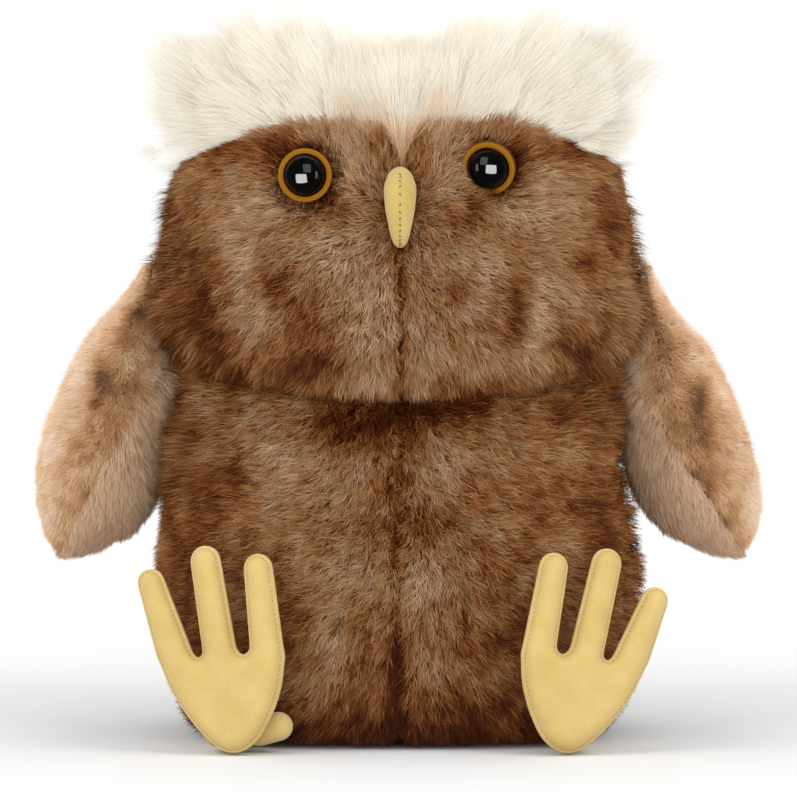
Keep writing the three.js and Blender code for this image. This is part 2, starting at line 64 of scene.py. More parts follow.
# The sewn forms, as the construction has them
SQUARENESS = 2.4
BODY_HALF_WIDTH = 81
BODY_HALF_DEPTH = 70
NECK_HEIGHT = 136
CHIN_DIP = 25
BODY_SHARES = [
    (0, 0.79), (0.035, 0.9), (0.1, 0.965), (0.24, 1.01), (0.42, 1.02),
    (0.57, 0.99), (0.7, 0.935), (0.83, 0.9), (0.93, 0.87), (1, 0.82), (1.1, 0.7),
]
HEAD_HALF_WIDTH = 82
HEAD_HALF_DEPTH = 69
HEAD_TOP = 226
HEAD_SHARES = [
    (-0.12, 0.68), (0, 0.82), (0.05, 0.93), (0.13, 0.995), (0.3, 1), (0.46, 0.975),
    (0.62, 0.94), (0.78, 0.86), (0.9, 0.71), (0.97, 0.45), (1, 0.2), (1.004, 0.01),
]
# The lower edge of the crown: shares of the head's half width, and heights
BROW_SHARES = [0, 0.02, 0.06, 0.12, 0.2, 0.31, 0.45, 0.62, 0.8, 1, 1.2]
BROW_HEIGHTS = [187.5, 192.5, 200.5, 202, 202.5, 203, 203.5, 200.5, 196.5, 193, 192]
BROW_REAR = 194

EYES = {
    "left": {"x": 28.5, "z": 187, "turn": -12, "tip": 18},
    "right": {"x": -30.5, "z": 184.5, "turn": 2, "tip": 3},
}
RING_RADIUS = 8.7
RING_THICKNESS = 3
PUPIL_RADIUS = 6.5
PUPIL_HEIGHT = 5.4
EYE_PROUD = 1.8
STEM_RADIUS = 2.4
STEM_LENGTH = 19
WASHER_RADIUS = 5.5
WASHER_THICKNESS = 1.4
WASHER_DEPTH = 15.5  # under the face, so that a tipped eye's washer stays behind the cloth
WASHER_GAP = 0.2

BEAK_TOP = 187
BEAK_LENGTH = 26
BEAK_WIDTH = 10.4
BEAK_DEPTH = 9
BEAK_PROUD = 6.5
BEAK_SHARES = [
    (0, 0.2, 0.2), (0.05, 0.55, 0.5), (0.14, 0.82, 0.78), (0.3, 1, 1), (0.5, 0.93, 0.97),
    (0.7, 0.75, 0.8), (0.87, 0.56, 0.62), (0.96, 0.38, 0.42), (1, 0.16, 0.2),
]

WING_LENGTH = 95
WING_HALF_THICKNESS = 21.5
WING_HALF_WIDTH = 28
WING_HANG = math.radians(18.5)
WING_SEAM_TILT = math.radians(12)
SHOULDER_RADIUS = 8.5
SHOULDER_STANDOFF = 3.5
SHOULDER_RISE = 14
HINGE_X = HEAD_HALF_WIDTH + SHOULDER_STANDOFF
HINGE_Z = NECK_HEIGHT + SHOULDER_RISE
WING_GAP = 0.3  # to the body that it is pressed against
ROOT_SQUEEZE = {-1: 0.42, 1: 0.66}  # of a wing's soft root against the body, on the right and on the left
ROOT_SPAN = {-1: 0.24, 1: 0.32}  # of the way down the wing, over which its root is squeezed
LEFT_WING_PRESS = 3.5  # by which the middle of the left wing lies closer in than the right one's
WING_SHARES = [
    (0, 0.1, 0.2, 0), (0.015, 0.22, 0.35, 0), (0.043, 0.35, 0.5, 0), (0.082, 0.395, 0.6, 0),
    (0.14, 0.48, 0.68, 0.03), (0.22, 0.63, 0.78, 0.07), (0.335, 0.82, 0.89, 0.11),
    (0.45, 0.945, 0.96, 0.145), (0.585, 1, 1, 0.15), (0.72, 0.98, 0.97, 0.18),
    (0.817, 0.86, 0.87, 0.19), (0.904, 0.6, 0.65, 0.13), (0.962, 0.34, 0.42, 0.08), (1, 0.03, 0.04, 0.02),
]


def linear(colour):
    """The linear red, green and blue of a colour written as #RRGGBB."""
    parts = [int(colour[i : i + 2], 16) / 255 for i in (1, 3, 5)]
    return tuple(p / 12.92 if p <= 0.04045 else ((p + 0.055) / 1.055) ** 2.4 for p in parts) + (1,)


def unit(vectors):
    """Vectors of the same directions and of length 1."""
    return vectors / np.maximum(np.linalg.norm(vectors, axis=-1, keepdims=True), TINY)


def dot(a, b):
    """The dot products of rows of vectors, kept as a column."""
    return np.sum(a * b, axis=-1, keepdims=True)


def smooth(values, low, high):
    """From 0 at low to 1 at high, with no kink."""
    share = np.clip((values - low) / (high - low), 0, 1)
    return share * share * (3 - 2 * share)


def bell(values, width):
    """1 where a value is 0, and towards 0 on both sides of it."""
    return np.exp(-((values / width) ** 2))


def knots_of(rows):
    """How far along a list of rows each row lies, from 0 to 1."""
    knots = np.concatenate([[0], np.cumsum(np.linalg.norm(np.diff(rows, axis=0), axis=1))])
    return knots / knots[-1]


def curve_through(rows, share):
    """Smooth values through rows of numbers, for shares from 0 to 1 of the way along them."""
    rows = np.array(rows, float)
    knots = knots_of(rows)
    slopes = np.gradient(rows, knots, axis=0)
    share = np.clip(share, 0, 1)
    index = np.clip(np.searchsorted(knots, share, side="right") - 1, 0, len(rows) - 2)
    gap = (knots[index + 1] - knots[index])[..., None]
    t = (share[..., None] - knots[index][..., None]) / gap
    start, end = rows[index], rows[index + 1]
    leave, arrive = slopes[index] * gap, slopes[index + 1] * gap
    return (
        start * (1 - t) ** 2 * (1 + 2 * t) + leave * t * (1 - t) ** 2
        + end * t**2 * (3 - 2 * t) + arrive * t**2 * (t - 1)
    )


# Noise that is the same each run
HASH_FACTORS = (73856093, 19349663, 83492791, 2654435761)
HASH_MIX = 1274126177
HASH_BITS = 0xFFFFFF


def lattice(cells, seed):
    """A number from 0 to 1 for each whole-numbered cell."""
    mixed = np.bitwise_xor.reduce([cells[..., i] * HASH_FACTORS[i] for i in range(3)])
    mixed = mixed ^ (seed * HASH_FACTORS[3])
    mixed = (mixed ^ (mixed >> 13)) * HASH_MIX
    mixed = mixed ^ (mixed >> 16)
    return (mixed & HASH_BITS) / HASH_BITS


def noise(points, size, seed):
    """Smooth noise from -1 to 1, with features of about that size."""
    scaled = points / size
    cell = np.floor(scaled).astype(np.int64)
    part = scaled - cell
    part = part * part * (3 - 2 * part)
    total = 0
    for corner in itertools.product((0, 1), repeat=3):
        corner = np.array(corner)
        weight = np.prod(np.where(corner == 1, part, 1 - part), axis=-1)
        total = total + weight * lattice(cell + corner, seed)
    return 2 * total - 1


def cloudy(points, size, seed):
    """Noise of three sizes together."""
    return sum(noise(points, size / 2**i, seed + i) / 2**i for i in range(3)) / 1.4


def tuft_of(points, size, seed):
    """The middle of the tuft that each point belongs to, and the cell that numbers it."""
    cell = np.floor(points / size).astype(np.int64)
    nearest = np.full(len(points), np.inf)
    middle = points.copy()
    mine = cell.copy()
    for step in itertools.product((-1, 0, 1), repeat=3):
        other = cell + np.array(step)
        place = (other + np.stack([lattice(other, seed + i) for i in range(3)], axis=-1)) * size
        far = np.linalg.norm(place - points, axis=-1)
        closer = far < nearest
        nearest = np.where(closer, far, nearest)
        middle[closer] = place[closer]
        mine[closer] = other[closer]
    return middle, mine


def rounded(value):
    """A cosine or a sine, drawn out towards the corners of a rounded oblong."""
    return np.sign(value) * np.abs(value) ** (2 / SQUARENESS)


def stack(x, y, z):
    """Places from their coordinates, each an array or one number for all."""
    return np.stack(np.broadcast_arrays(x, y, z), axis=-1).astype(float)


def neck_at(y):
    """The neck seam's height: level round the back and sides, and lower under the chin."""
    return NECK_HEIGHT - CHIN_DIP * smooth(-y, 0, BODY_HALF_DEPTH)


# The profiles run on past the neck seam, where one is tucked into the other
BODY_TOP = knots_of(BODY_SHARES)[-2]
HEAD_BOTTOM = knots_of(HEAD_SHARES)[1]


def body_place(turn, share):
    """A place on the body, from the floor to the neck seam and a little past it."""
    high, wide = np.moveaxis(curve_through(BODY_SHARES, share * BODY_TOP), -1, 0)
    x = wide * BODY_HALF_WIDTH * rounded(np.cos(turn))
    y = wide * BODY_HALF_DEPTH * rounded(np.sin(turn))
    return stack(x, y, high * neck_at(y))


def head_place(turn, rise):
    """A place on the head, from a little under the neck seam to its top."""
    high, wide = np.moveaxis(curve_through(HEAD_SHARES, rise), -1, 0)
    x = wide * HEAD_HALF_WIDTH * rounded(np.cos(turn))
    y = wide * HEAD_HALF_DEPTH * rounded(np.sin(turn))
    return stack(x, y, neck_at(y) + high * (HEAD_TOP - neck_at(y)))


def brow_at(x, y):
    """The height of the crown's lower edge."""
    front = np.interp(np.abs(x) / HEAD_HALF_WIDTH, BROW_SHARES, BROW_HEIGHTS)
    return np.where(y < 0, front, BROW_REAR)


def over_brow(points):
    """How far above the crown's lower edge each place lies."""
    return points[..., 2] - brow_at(points[..., 0], points[..., 1])


BROW_TURNS = np.linspace(-math.pi, math.pi, 721)
BROW_HALVINGS = 24  # of the span in which each of them is sought


def brow_rises():
    """The share of the head's profile at which the crown starts, for each of BROW_TURNS."""
    low, high = np.zeros(len(BROW_TURNS)), np.ones(len(BROW_TURNS))
    for _ in range(BROW_HALVINGS):
        middle = (low + high) / 2
        place = head_place(BROW_TURNS, middle)
        above = over_brow(place) > 0
        high, low = np.where(above, middle, high), np.where(above, low, middle)
    return high


BROW_RISES = brow_rises()


def below_brow(turn, share):
    """A place on the head from the neck seam, or a little under it, to the brow."""
    end = np.interp(turn, BROW_TURNS, BROW_RISES)
    return head_place(turn, HEAD_BOTTOM + share * (end - HEAD_BOTTOM))


def above_brow(turn, share):
    """A place on the head from the brow to its top."""
    start = np.interp(turn, BROW_TURNS, BROW_RISES)
    return head_place(turn, start + share * (1 - start))


def torso_side(y, z):
    """How far out the side of the body or the head lies at a place, or 0 where it has none."""
    neck = neck_at(y)
    on_body = z < neck
    body_wide = np.interp(z / neck, *zip(*BODY_SHARES))
    head_wide = np.interp((z - neck) / (HEAD_TOP - neck), *zip(*HEAD_SHARES[:-1]))
    wide = np.where(on_body, body_wide, head_wide)
    half_width = np.where(on_body, BODY_HALF_WIDTH, HEAD_HALF_WIDTH) * wide
    half_depth = np.where(on_body, BODY_HALF_DEPTH, HEAD_HALF_DEPTH) * wide
    inside = np.clip(1 - (np.abs(y) / half_depth) ** SQUARENESS, 0, 1)
    return half_width * inside ** (1 / SQUARENESS)


def face_depth_at(x, z):
    """How far forward the face's fur reaches at a place seen from the front."""
    chin = NECK_HEIGHT - CHIN_DIP
    wide = np.interp((z - chin) / (HEAD_TOP - chin), *zip(*HEAD_SHARES[:-1]))
    side = np.minimum(1, np.abs(x) / (wide * HEAD_HALF_WIDTH))
    return wide * HEAD_HALF_DEPTH * (1 - side**SQUARENESS) ** (1 / SQUARENESS)


def seam_turn(rise):
    """The turn from the wing's outward side at which its outer panel meets the lining."""
    along, thick, _, inwards = np.moveaxis(curve_through(WING_SHARES, rise), -1, 0)
    up_from_tip = (WING_LENGTH + SHOULDER_RADIUS) * (1 - along)
    level = inwards - up_from_tip * math.tan(WING_SEAM_TILT) / WING_HALF_THICKNESS
    return np.arccos(np.clip(level / np.maximum(thick, TINY), -1, 1))


def wing_place(side, turn, rise):
    """A place on a wing, turned from its outward side towards the back, pressed flat on the body."""
    along, thick, wide, inwards = np.moveaxis(curve_through(WING_SHARES, rise), -1, 0)
    out = WING_HALF_THICKNESS * (thick * np.cos(turn) - inwards)
    y = wide * WING_HALF_WIDTH * np.sin(turn)
    down = SHOULDER_RADIUS - (WING_LENGTH + SHOULDER_RADIUS) * along
    x = HINGE_X + out * math.cos(WING_HANG) - down * math.sin(WING_HANG)
    z = HINGE_Z + out * math.sin(WING_HANG) + down * math.cos(WING_HANG)
    if side > 0:
        x = x - LEFT_WING_PRESS * smooth(along, 0.1, 0.35) * (1 - smooth(along, 0.6, 0.95))
    pressed = torso_side(y, z) + WING_GAP
    squeeze = ROOT_SQUEEZE[side] * (1 - smooth(along, 0.02, ROOT_SPAN[side]))
    x = pressed + np.maximum(x - pressed, 0) * (1 - squeeze)
    return stack(side * x, y, z)


def outer_wing(side):
    """Places on a wing's outer panel, from -1 to 1 between its seams."""
    return lambda u, rise: wing_place(side, u * seam_turn(rise), rise)


def wing_lining(side):
    """Places on a wing's lining, from -1 to 1 between its seams."""
    return lambda u, rise: wing_place(side, math.pi + u * (math.pi - seam_turn(rise)), rise)


def frame_at(place, u, v, middle):
    """Points on a surface and the normals there, which point away from the middle.

    A surface that has no such middle gives 1 or -1 in its place, for the way round that its sides are.
    """
    step = 1e-4
    points = place(u, v)
    along_u = place(u + step, v) - place(u - step, v)
    along_v = place(u, v + step) - place(u, v - step)
    normals = unit(np.cross(along_u, along_v))
    away = middle if np.isscalar(middle) else np.sign(dot(normals, points - np.array(middle)))
    return points, normals * away


SCATTER_CELLS = (120, 90)


def scatter(place, us, vs, density, rng):
    """Random places spread evenly over part of a surface, so many to a square millimetre."""
    cells_u, cells_v = SCATTER_CELLS
    u = np.linspace(*us, cells_u + 1)
    v = np.linspace(*vs, cells_v + 1)
    grid = place(*np.meshgrid(u, v, indexing="ij"))
    one, other = grid[1:, 1:] - grid[:-1, :-1], grid[1:, :-1] - grid[:-1, 1:]
    area = np.linalg.norm(np.cross(one, other), axis=-1) / 2
    count = int(area.sum() * density)
    picked = rng.choice(area.size, count, p=(area / area.sum()).ravel())
    i, j = np.divmod(picked, cells_v)
    return (
        u[i] + rng.random(count) * (u[1] - u[0]),
        v[j] + rng.random(count) * (v[1] - v[0]),
    )


# How each kind of pile grows. density is strands to a square millimetre. lift and fall are the angles at
# which a strand leaves the cloth and at which it ends. inset is how deep the cloth lies under the tips.
# root, tip and skin are the light at a strand's ends and on the cloth, and vary is how much it differs.
# soft, level and front turn the shading from a strand's own face to the cloth's, to the level and to the
# front. Hair that is free doesn't follow the cloth.
PLUSH = {
    "density": 5.2, "length": 8.6, "uneven": 0.4, "width": 0.21, "steps": 3, "inset": 6,
    "lift": 72, "fall": 34, "droop": 0.08, "stray": 18, "tuft": 2, "tuft_turn": 30, "tuft_length": 0.12,
    "pull": 0.38, "curl": 0.16, "curls": 1, "roll": 30, "root": 0.42, "tip": 0.92, "skin": 0.3, "soft": 0.5,
    "level": 1, "front": 0, "vary": 2, "free": False,
}
HEAD_PLUSH = {**PLUSH, "length": 8.8}
REAR_PLUSH = {**PLUSH, "density": 2.4, "length": 9.6, "width": 0.34, "tuft": 3.2}
CROWN_HAIR = {
    **PLUSH, "density": 6, "length": 30, "uneven": 0.5, "width": 0.24, "inset": 2, "lift": 55, "fall": 8,
    "droop": 0.06, "stray": 10, "tuft": 9, "tuft_turn": 15, "tuft_length": 0.36, "pull": 0.5, "curl": 0.1,
    "root": 0.86, "tip": 1, "skin": 0.92, "soft": 0.92, "level": 0.08, "vary": 0.2, "free": True,
    "front": 0.7,
}
CURLY = {
    **PLUSH, "density": 10, "length": 6.2, "uneven": 0.4, "width": 0.22, "steps": 2, "inset": 4, "lift": 78,
    "fall": 42, "stray": 22, "tuft": 1.7, "tuft_turn": 16, "pull": 0.1, "curl": 0.2, "curls": 0.6,
    "root": 0.76, "tip": 0.98, "skin": 0.7, "soft": 0.75, "droop": 0.05, "vary": 1, "front": 0.7,
}
SLEEK = {
    **PLUSH, "density": 7.5, "length": 7, "width": 0.24, "steps": 2, "inset": 2.6, "lift": 54, "fall": 16,
    "stray": 11, "tuft": 2, "tuft_turn": 14, "pull": 0.24, "root": 0.6, "tip": 0.97, "skin": 0.5,
    "soft": 0.6, "vary": 1.1, "front": 0.4,
}
BASE_PILE = {
    **PLUSH, "density": 1, "length": 6, "width": 0.5, "steps": 2, "inset": 1.2, "lift": 30, "fall": 5,
}
MOST_FACES = 195000  # of one piece

# How strands differ from tuft to tuft and from one to the next
TUFT_TILT = math.radians(8)
TUFT_LIGHT, STRAND_LIGHT = 0.05, 0.07
TUFT_HUE, STRAND_HUE = 0.07, 0.06
WIDTH_SPREAD = (0.75, 1.25)
TAPER = 0.55
SIDE_SHARE = 0.05  # of the way across the cloth in a strand's side, so that each strand has one
PULL_POWER = 1.5
LIGHT_POWER = 0.8
MAP_BREADTH = 0.003  # by which a strand's sides lie apart on the colour map
MAP_EDGE = 0.004
LEAST_HEIGHT = 0.2  # of a strand over the floor
SKIN_THICKNESS = 0.8
SKIN_DROP = 0.3  # of the cloth's face under the strands' roots


def strands(roots, normals, comb, length, stand, hue, style, rng, seed):
    """Thin tapering strands: their points, triangles, places on the colour map and normals."""
    count, steps = len(roots), style["steps"]
    middle, tuft = tuft_of(roots, style["tuft"], seed)
    own = [2 * lattice(tuft, seed + 11 * i) - 1 for i in range(1, 6)]
    across = unit(np.cross(normals, comb))
    lean = math.radians(style["tuft_turn"]) * own[0] + rng.normal(0, math.radians(style["stray"]), count)
    heading = comb * np.cos(lean)[:, None] + across * np.sin(lean)[:, None]
    length = length * (1 + style["tuft_length"] * own[1]) * rng.uniform(1 - style["uneven"], 1, count)
    tilt = TUFT_TILT * own[2] + rng.normal(0, math.radians(style["stray"]) / 2, count)
    to_middle = middle - roots
    to_middle = to_middle - normals * dot(to_middle, normals)
    phase = rng.uniform(0, FULL_TURN, count)
    point = roots
    path = [roots]
    for step in range(steps):
        share = (step + 0.5) / steps
        angle = np.radians(style["lift"] + (style["fall"] - style["lift"]) * share + stand) + tilt
        direction = normals * np.sin(angle)[:, None] + heading * np.cos(angle)[:, None]
        twist = phase + style["curls"] * FULL_TURN * share
        direction = direction + style["curl"] * (
            across * np.cos(twist)[:, None] + comb * np.sin(twist)[:, None]
        )
        direction[:, 2] -= style["droop"] * share
        point = point + unit(direction) * (length / steps)[:, None]
        path.append(point + to_middle * style["pull"] * ((step + 1) / steps) ** PULL_POWER)
    path = np.stack(path, axis=1)
    path[..., 2] = np.maximum(path[..., 2], LEAST_HEIGHT + rng.random(count)[:, None])

    forward = unit(np.diff(path, axis=1))
    front = style["front"] * (1 - smooth(normals[:, 1], 0.3, 1))
    out = unit(normals * np.array([1, 1, style["level"]]) - stack(0, front, 0))[:, None, :]
    side = unit(np.cross(forward, out) + SIDE_SHARE * across[:, None, :])
    rise = np.cross(side, forward)
    roll = rng.normal(0, math.radians(style["roll"]), count)[:, None, None]
    side = side * np.cos(roll) + rise * np.sin(roll)
    levels = np.arange(steps) / steps
    half = style["width"] / 2 * rng.uniform(*WIDTH_SPREAD, count)[:, None] * (1 - TAPER * levels**1.5)
    left = path[:, :-1] + side * half[..., None]
    right = path[:, :-1] - side * half[..., None]
    points = np.concatenate([np.stack([left, right], axis=2).reshape(count, -1, 3), path[:, -1:]], axis=1)

    pattern = []
    for step in range(steps - 1):
        a = 2 * step
        pattern += [(a, a + 3, a + 1), (a, a + 2, a + 3)]
    pattern.append((2 * steps - 2, 2 * steps, 2 * steps - 1))
    per = 2 * steps + 1
    facing = unit(np.cross(side, forward))
    facing = unit(facing * (1 - style["soft"]) + out * style["soft"])
    facing = np.concatenate([np.repeat(facing, 2, axis=1), facing[:, -1:]], axis=1)
    triangles = np.arange(count)[:, None, None] * per + np.array(pattern)

    shares = np.append(np.repeat(levels, 2), 1)
    light = style["root"] + (style["tip"] - style["root"]) * shares**LIGHT_POWER
    differing = TUFT_LIGHT * own[3][:, None] + rng.normal(0, STRAND_LIGHT, count)[:, None]
    light = light + style["vary"] * differing
    tone = hue + style["vary"] * (TUFT_HUE * own[4] + rng.normal(0, STRAND_HUE, count))
    breadth = MAP_BREADTH * np.append(np.tile([-1, 1], steps), 0)
    spots = np.stack([light, tone[:, None] + breadth], axis=-1)
    spots = np.clip(spots, MAP_EDGE, 1 - MAP_EDGE)
    return tuple(a.reshape(-1, a.shape[-1]) for a in (points, triangles, spots, facing))


CLOTH_CELLS = (48, 40)


def cloth(place, us, vs, middle, style, tint, sink):
    """The backing cloth: a closed thin panel under a surface."""
    cells_u, cells_v = CLOTH_CELLS
    u, v = np.meshgrid(np.linspace(*us, cells_u + 1), np.linspace(*vs, cells_v + 1), indexing="ij")
    points, normals = frame_at(place, u, v, middle)
    outer = points - normals * (style["inset"] * sink(points) + SKIN_DROP)[..., None]
    outer[..., 2] = np.maximum(outer[..., 2], LEAST_HEIGHT)
    inner = outer - normals * SKIN_THICKNESS
    index = np.arange(u.size).reshape(u.shape)
    a, b, c, d = index[:-1, :-1], index[1:, :-1], index[1:, 1:], index[:-1, 1:]
    top = np.stack([a, b, c, a, c, d], axis=-1).reshape(-1, 3)
    low = top[:, ::-1] + u.size
    rim = np.concatenate([index[:, 0], index[-1, 1:], index[-2::-1, -1], index[0, -2::-1]])
    ahead = np.concatenate([rim[1:], rim[1:2]]) if rim[0] != rim[-1] else rim[1:]
    rim = rim[: len(ahead)]
    wall = np.stack([ahead, rim, rim + u.size, ahead, rim + u.size, ahead + u.size], axis=-1).reshape(-1, 3)
    hue = tint(outer.reshape(-1, 3), normals.reshape(-1, 3)).reshape(u.shape)
    spot_u = style["skin"] + 0.02 * np.linspace(0, 1, cells_u + 1)[:, None] + 0 * hue
    spot_v = np.clip(hue + 0.01 * np.linspace(0, 1, cells_v + 1)[None, :], MAP_EDGE, 1 - MAP_EDGE)
    spots = np.stack([spot_u, spot_v], axis=-1).reshape(-1, 2)
    normals = normals.reshape(-1, 3)
    return (
        np.concatenate([outer.reshape(-1, 3), inner.reshape(-1, 3)]),
        np.concatenate([top, low, wall]),
        np.concatenate([spots, spots]),
        np.concatenate([normals, -normals]),
    )


def mesh_piece(name, points, triangles, material, spots=None, normals=None):
    """A mesh object from points in millimetres."""
    points = (np.asarray(points, float) + np.array([0, MIDDLE, 0])) * METRE
    triangles = np.asarray(triangles, np.int32)
    mesh = bpy.data.meshes.new(name)
    mesh.vertices.add(len(points))
    mesh.vertices.foreach_set("co", points.astype(np.float32).ravel())
    mesh.loops.add(triangles.size)
    mesh.loops.foreach_set("vertex_index", triangles.ravel())
    mesh.polygons.add(len(triangles))
    mesh.polygons.foreach_set("loop_start", np.arange(0, triangles.size, 3, dtype=np.int32))
    mesh.update(calc_edges=True)
    if spots is not None:
        layer = mesh.uv_layers.new(name="OFBake")
        layer.data.foreach_set("uv", np.asarray(spots, np.float32)[triangles.ravel()].ravel())
    mesh.polygons.foreach_set("use_smooth", np.full(len(mesh.polygons), True))
    if normals is not None:
        mesh.normals_split_custom_set_from_vertices(normals)
    mesh.materials.append(material)
    piece = bpy.data.objects.new(name, mesh)
    bpy.context.scene.collection.objects.link(piece)
    return piece


def declare(piece, body, nodes):
    """The body that a piece rides, and the nodes that it replaces."""
    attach(piece, body)
    if nodes:
        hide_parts(*nodes)


def everywhere(points, normals):
    """True at each place."""
    return np.full(len(points), True)


def whole(points, normals=None):
    """1 at each place."""
    return np.ones(points.shape[:-1])


def unturned(points):
    """0 degrees at each place."""
    return np.zeros(len(points))


def fur_piece(
    node, body, material, place, us, vs, middle, style, comb, tint, seed, keep=everywhere,
    reach=whole, sink=whole, stand=unturned, cloth_vs=None, shaded=True,
):
    """A plush panel: its cloth and its pile, in pieces of not too many strands.

    place gives the panel's surface for us and vs, and middle says which side of it is out. comb, tint, keep,
    reach, sink and stand say for each place how the pile lies, its hue, whether it grows there, the share of
    its length, the share of the cloth's depth, and by how many degrees it stands more upright.
    """
    rng = np.random.default_rng(seed)
    name = node + "_fur"
    density = style["density"] * 1
    u, v = scatter(place, us, vs, density, rng)
    points, normals = frame_at(place, u, v, middle)
    kept = keep(points, normals)
    points, normals = points[kept], normals[kept]
    roots = points - normals * (style["inset"] * sink(points))[:, None]
    heading = comb(points, normals)
    if not style["free"]:
        heading = unit(heading - normals * dot(heading, normals))
    hue = tint(points, normals)
    length = style["length"] * reach(points, normals)
    up = stand(points)
    backing = cloth(place, us, cloth_vs or vs, middle, style, tint, sink)
    most = (MOST_FACES - len(backing[1])) // (2 * style["steps"] - 1)
    batches = np.array_split(np.arange(len(roots)), math.ceil(len(roots) / most))
    for number, batch in enumerate(batches):
        pile = strands(*(a[batch] for a in (roots, normals, heading, length, up, hue)), style, rng, seed)
        made = [backing, pile] if number == 0 else [pile]
        starts = [0, len(made[0][0])]
        faces = np.concatenate([part[1] + start for part, start in zip(made, starts)])
        points, spots, facing = (np.concatenate([part[i] for part in made]) for i in (0, 2, 3))
        title = f"{name}_{number + 1}" if number else name
        piece = mesh_piece(title, points, faces, material, spots, facing)
        piece.visible_shadow = shaded
        declare(piece, body, [node])


def ramp(nodes, links, factor, stops):
    """A colour for each value of a factor, from stops of position and colour."""
    node = nodes.new("ShaderNodeValToRGB")
    elements = node.color_ramp.elements
    while len(elements) < len(stops):
        elements.new(0.5)
    for element, (position, colour) in zip(elements, stops):
        element.position = position
        element.color = linear(colour)
    links.new(factor, node.inputs["Fac"])
    return node.outputs["Color"]


def cloud(nodes, scale, detail=2):
    """Noise that a material uses."""
    node = nodes.new("ShaderNodeTexNoise")
    node.inputs["Scale"].default_value = scale
    node.inputs["Detail"].default_value = detail
    return node


def map_places(nodes, links):
    """The two coordinates of the colour map."""
    spot = nodes.new("ShaderNodeUVMap")
    spot.uv_map = "OFBake"
    parts = nodes.new("ShaderNodeSeparateXYZ")
    links.new(spot.outputs["UV"], parts.inputs[0])
    return parts.outputs["X"], parts.outputs["Y"]


def multiply(nodes, links, one, other, socket):
    """Gives a socket the product of two colours."""
    mix = nodes.new("ShaderNodeMix")
    mix.data_type = "RGBA"
    mix.blend_type = "MULTIPLY"
    mix.inputs["Factor"].default_value = 1
    links.new(one, mix.inputs["A"])
    links.new(other, mix.inputs["B"])
    links.new(mix.outputs["Result"], socket)


def roughen(nodes, links, height, shader, strength, distance):
    """Small bumps in a material."""
    bump = nodes.new("ShaderNodeBump")
    bump.inputs["Strength"].default_value = strength
    bump.inputs["Distance"].default_value = distance
    links.new(height, bump.inputs["Height"])
    links.new(bump.outputs["Normal"], shader.inputs["Normal"])


def new_material(name, roughness, specular):
    """A material with its nodes, its links and its shader."""
    material = bpy.data.materials.new(name)
    material.use_nodes = True
    nodes, links = material.node_tree.nodes, material.node_tree.links
    shader = nodes["Principled BSDF"]
    shader.inputs["Roughness"].default_value = roughness
    shader.inputs["Specular IOR Level"].default_value = specular
    return material, nodes, links, shader


# The light along a strand, from its root to its tip
WARM_SHADES = [(0, "#38200E"), (0.25, "#8A6240"), (0.6, "#DCC4A4"), (1, "#FFF8EC")]
PALE_SHADES = [(0, "#6A5240"), (0.3, "#B59C84"), (0.65, "#E4D6C6"), (1, "#FFFFFF")]
LIGHT_SHADES = [(0, "#B8B0A8"), (0.8, "#E6E3DF"), (0.93, "#EEECE9"), (1, "#FFFFFF")]
PILE_ROUGHNESS = 0.6
PILE_SPECULAR = 0.2


def pile_material(name, stops, shades=WARM_SHADES, sheen=0.0):
    """Pile whose map gives the light along a strand across it and the strand's hue up it."""
    material, nodes, links, shader = new_material(name, PILE_ROUGHNESS, PILE_SPECULAR)
    shader.inputs["Sheen Weight"].default_value = sheen
    across, up = map_places(nodes, links)
    hue, light = ramp(nodes, links, up, stops), ramp(nodes, links, across, shades)
    multiply(nodes, links, hue, light, shader.inputs["Base Color"])
    return material


BROWN = pile_material("brown_plush_pile", [
    (0, "#4E2206"), (0.22, "#864C1A"), (0.42, "#A67C50"), (0.6, "#AF9072"), (0.8, "#B59D88"), (1, "#DCC0A2"),
])
CREAM = pile_material("cream_plush_pile", [
    (0, "#8A6248"), (0.25, "#CCA680"), (0.5, "#DAD2C2"), (0.74, "#E1DBCE"), (1, "#FFFFFF"),
], LIGHT_SHADES, sheen=0.2)
TAN = pile_material("wing_plush_pile", [
    (0, "#664634"), (0.3, "#BC8A5C"), (0.6, "#E2BD96"), (1, "#F2DDCA"),
], PALE_SHADES)
GREY = pile_material("wing_lining_pile", [
    (0, "#8A6E58"), (0.5, "#D6B596"), (1, "#EBD3BB"),
], PALE_SHADES)


def photo_place(column, row, depth):
    """x and z of a place in the photograph that lies so far in front of y = 0."""
    scale = MM_PER_PIXEL * (1 - depth / VIEW_DISTANCE)
    return (column - PIXEL_X) * scale, PIXEL_Y_HEIGHT + (PIXEL_Y - row) * scale
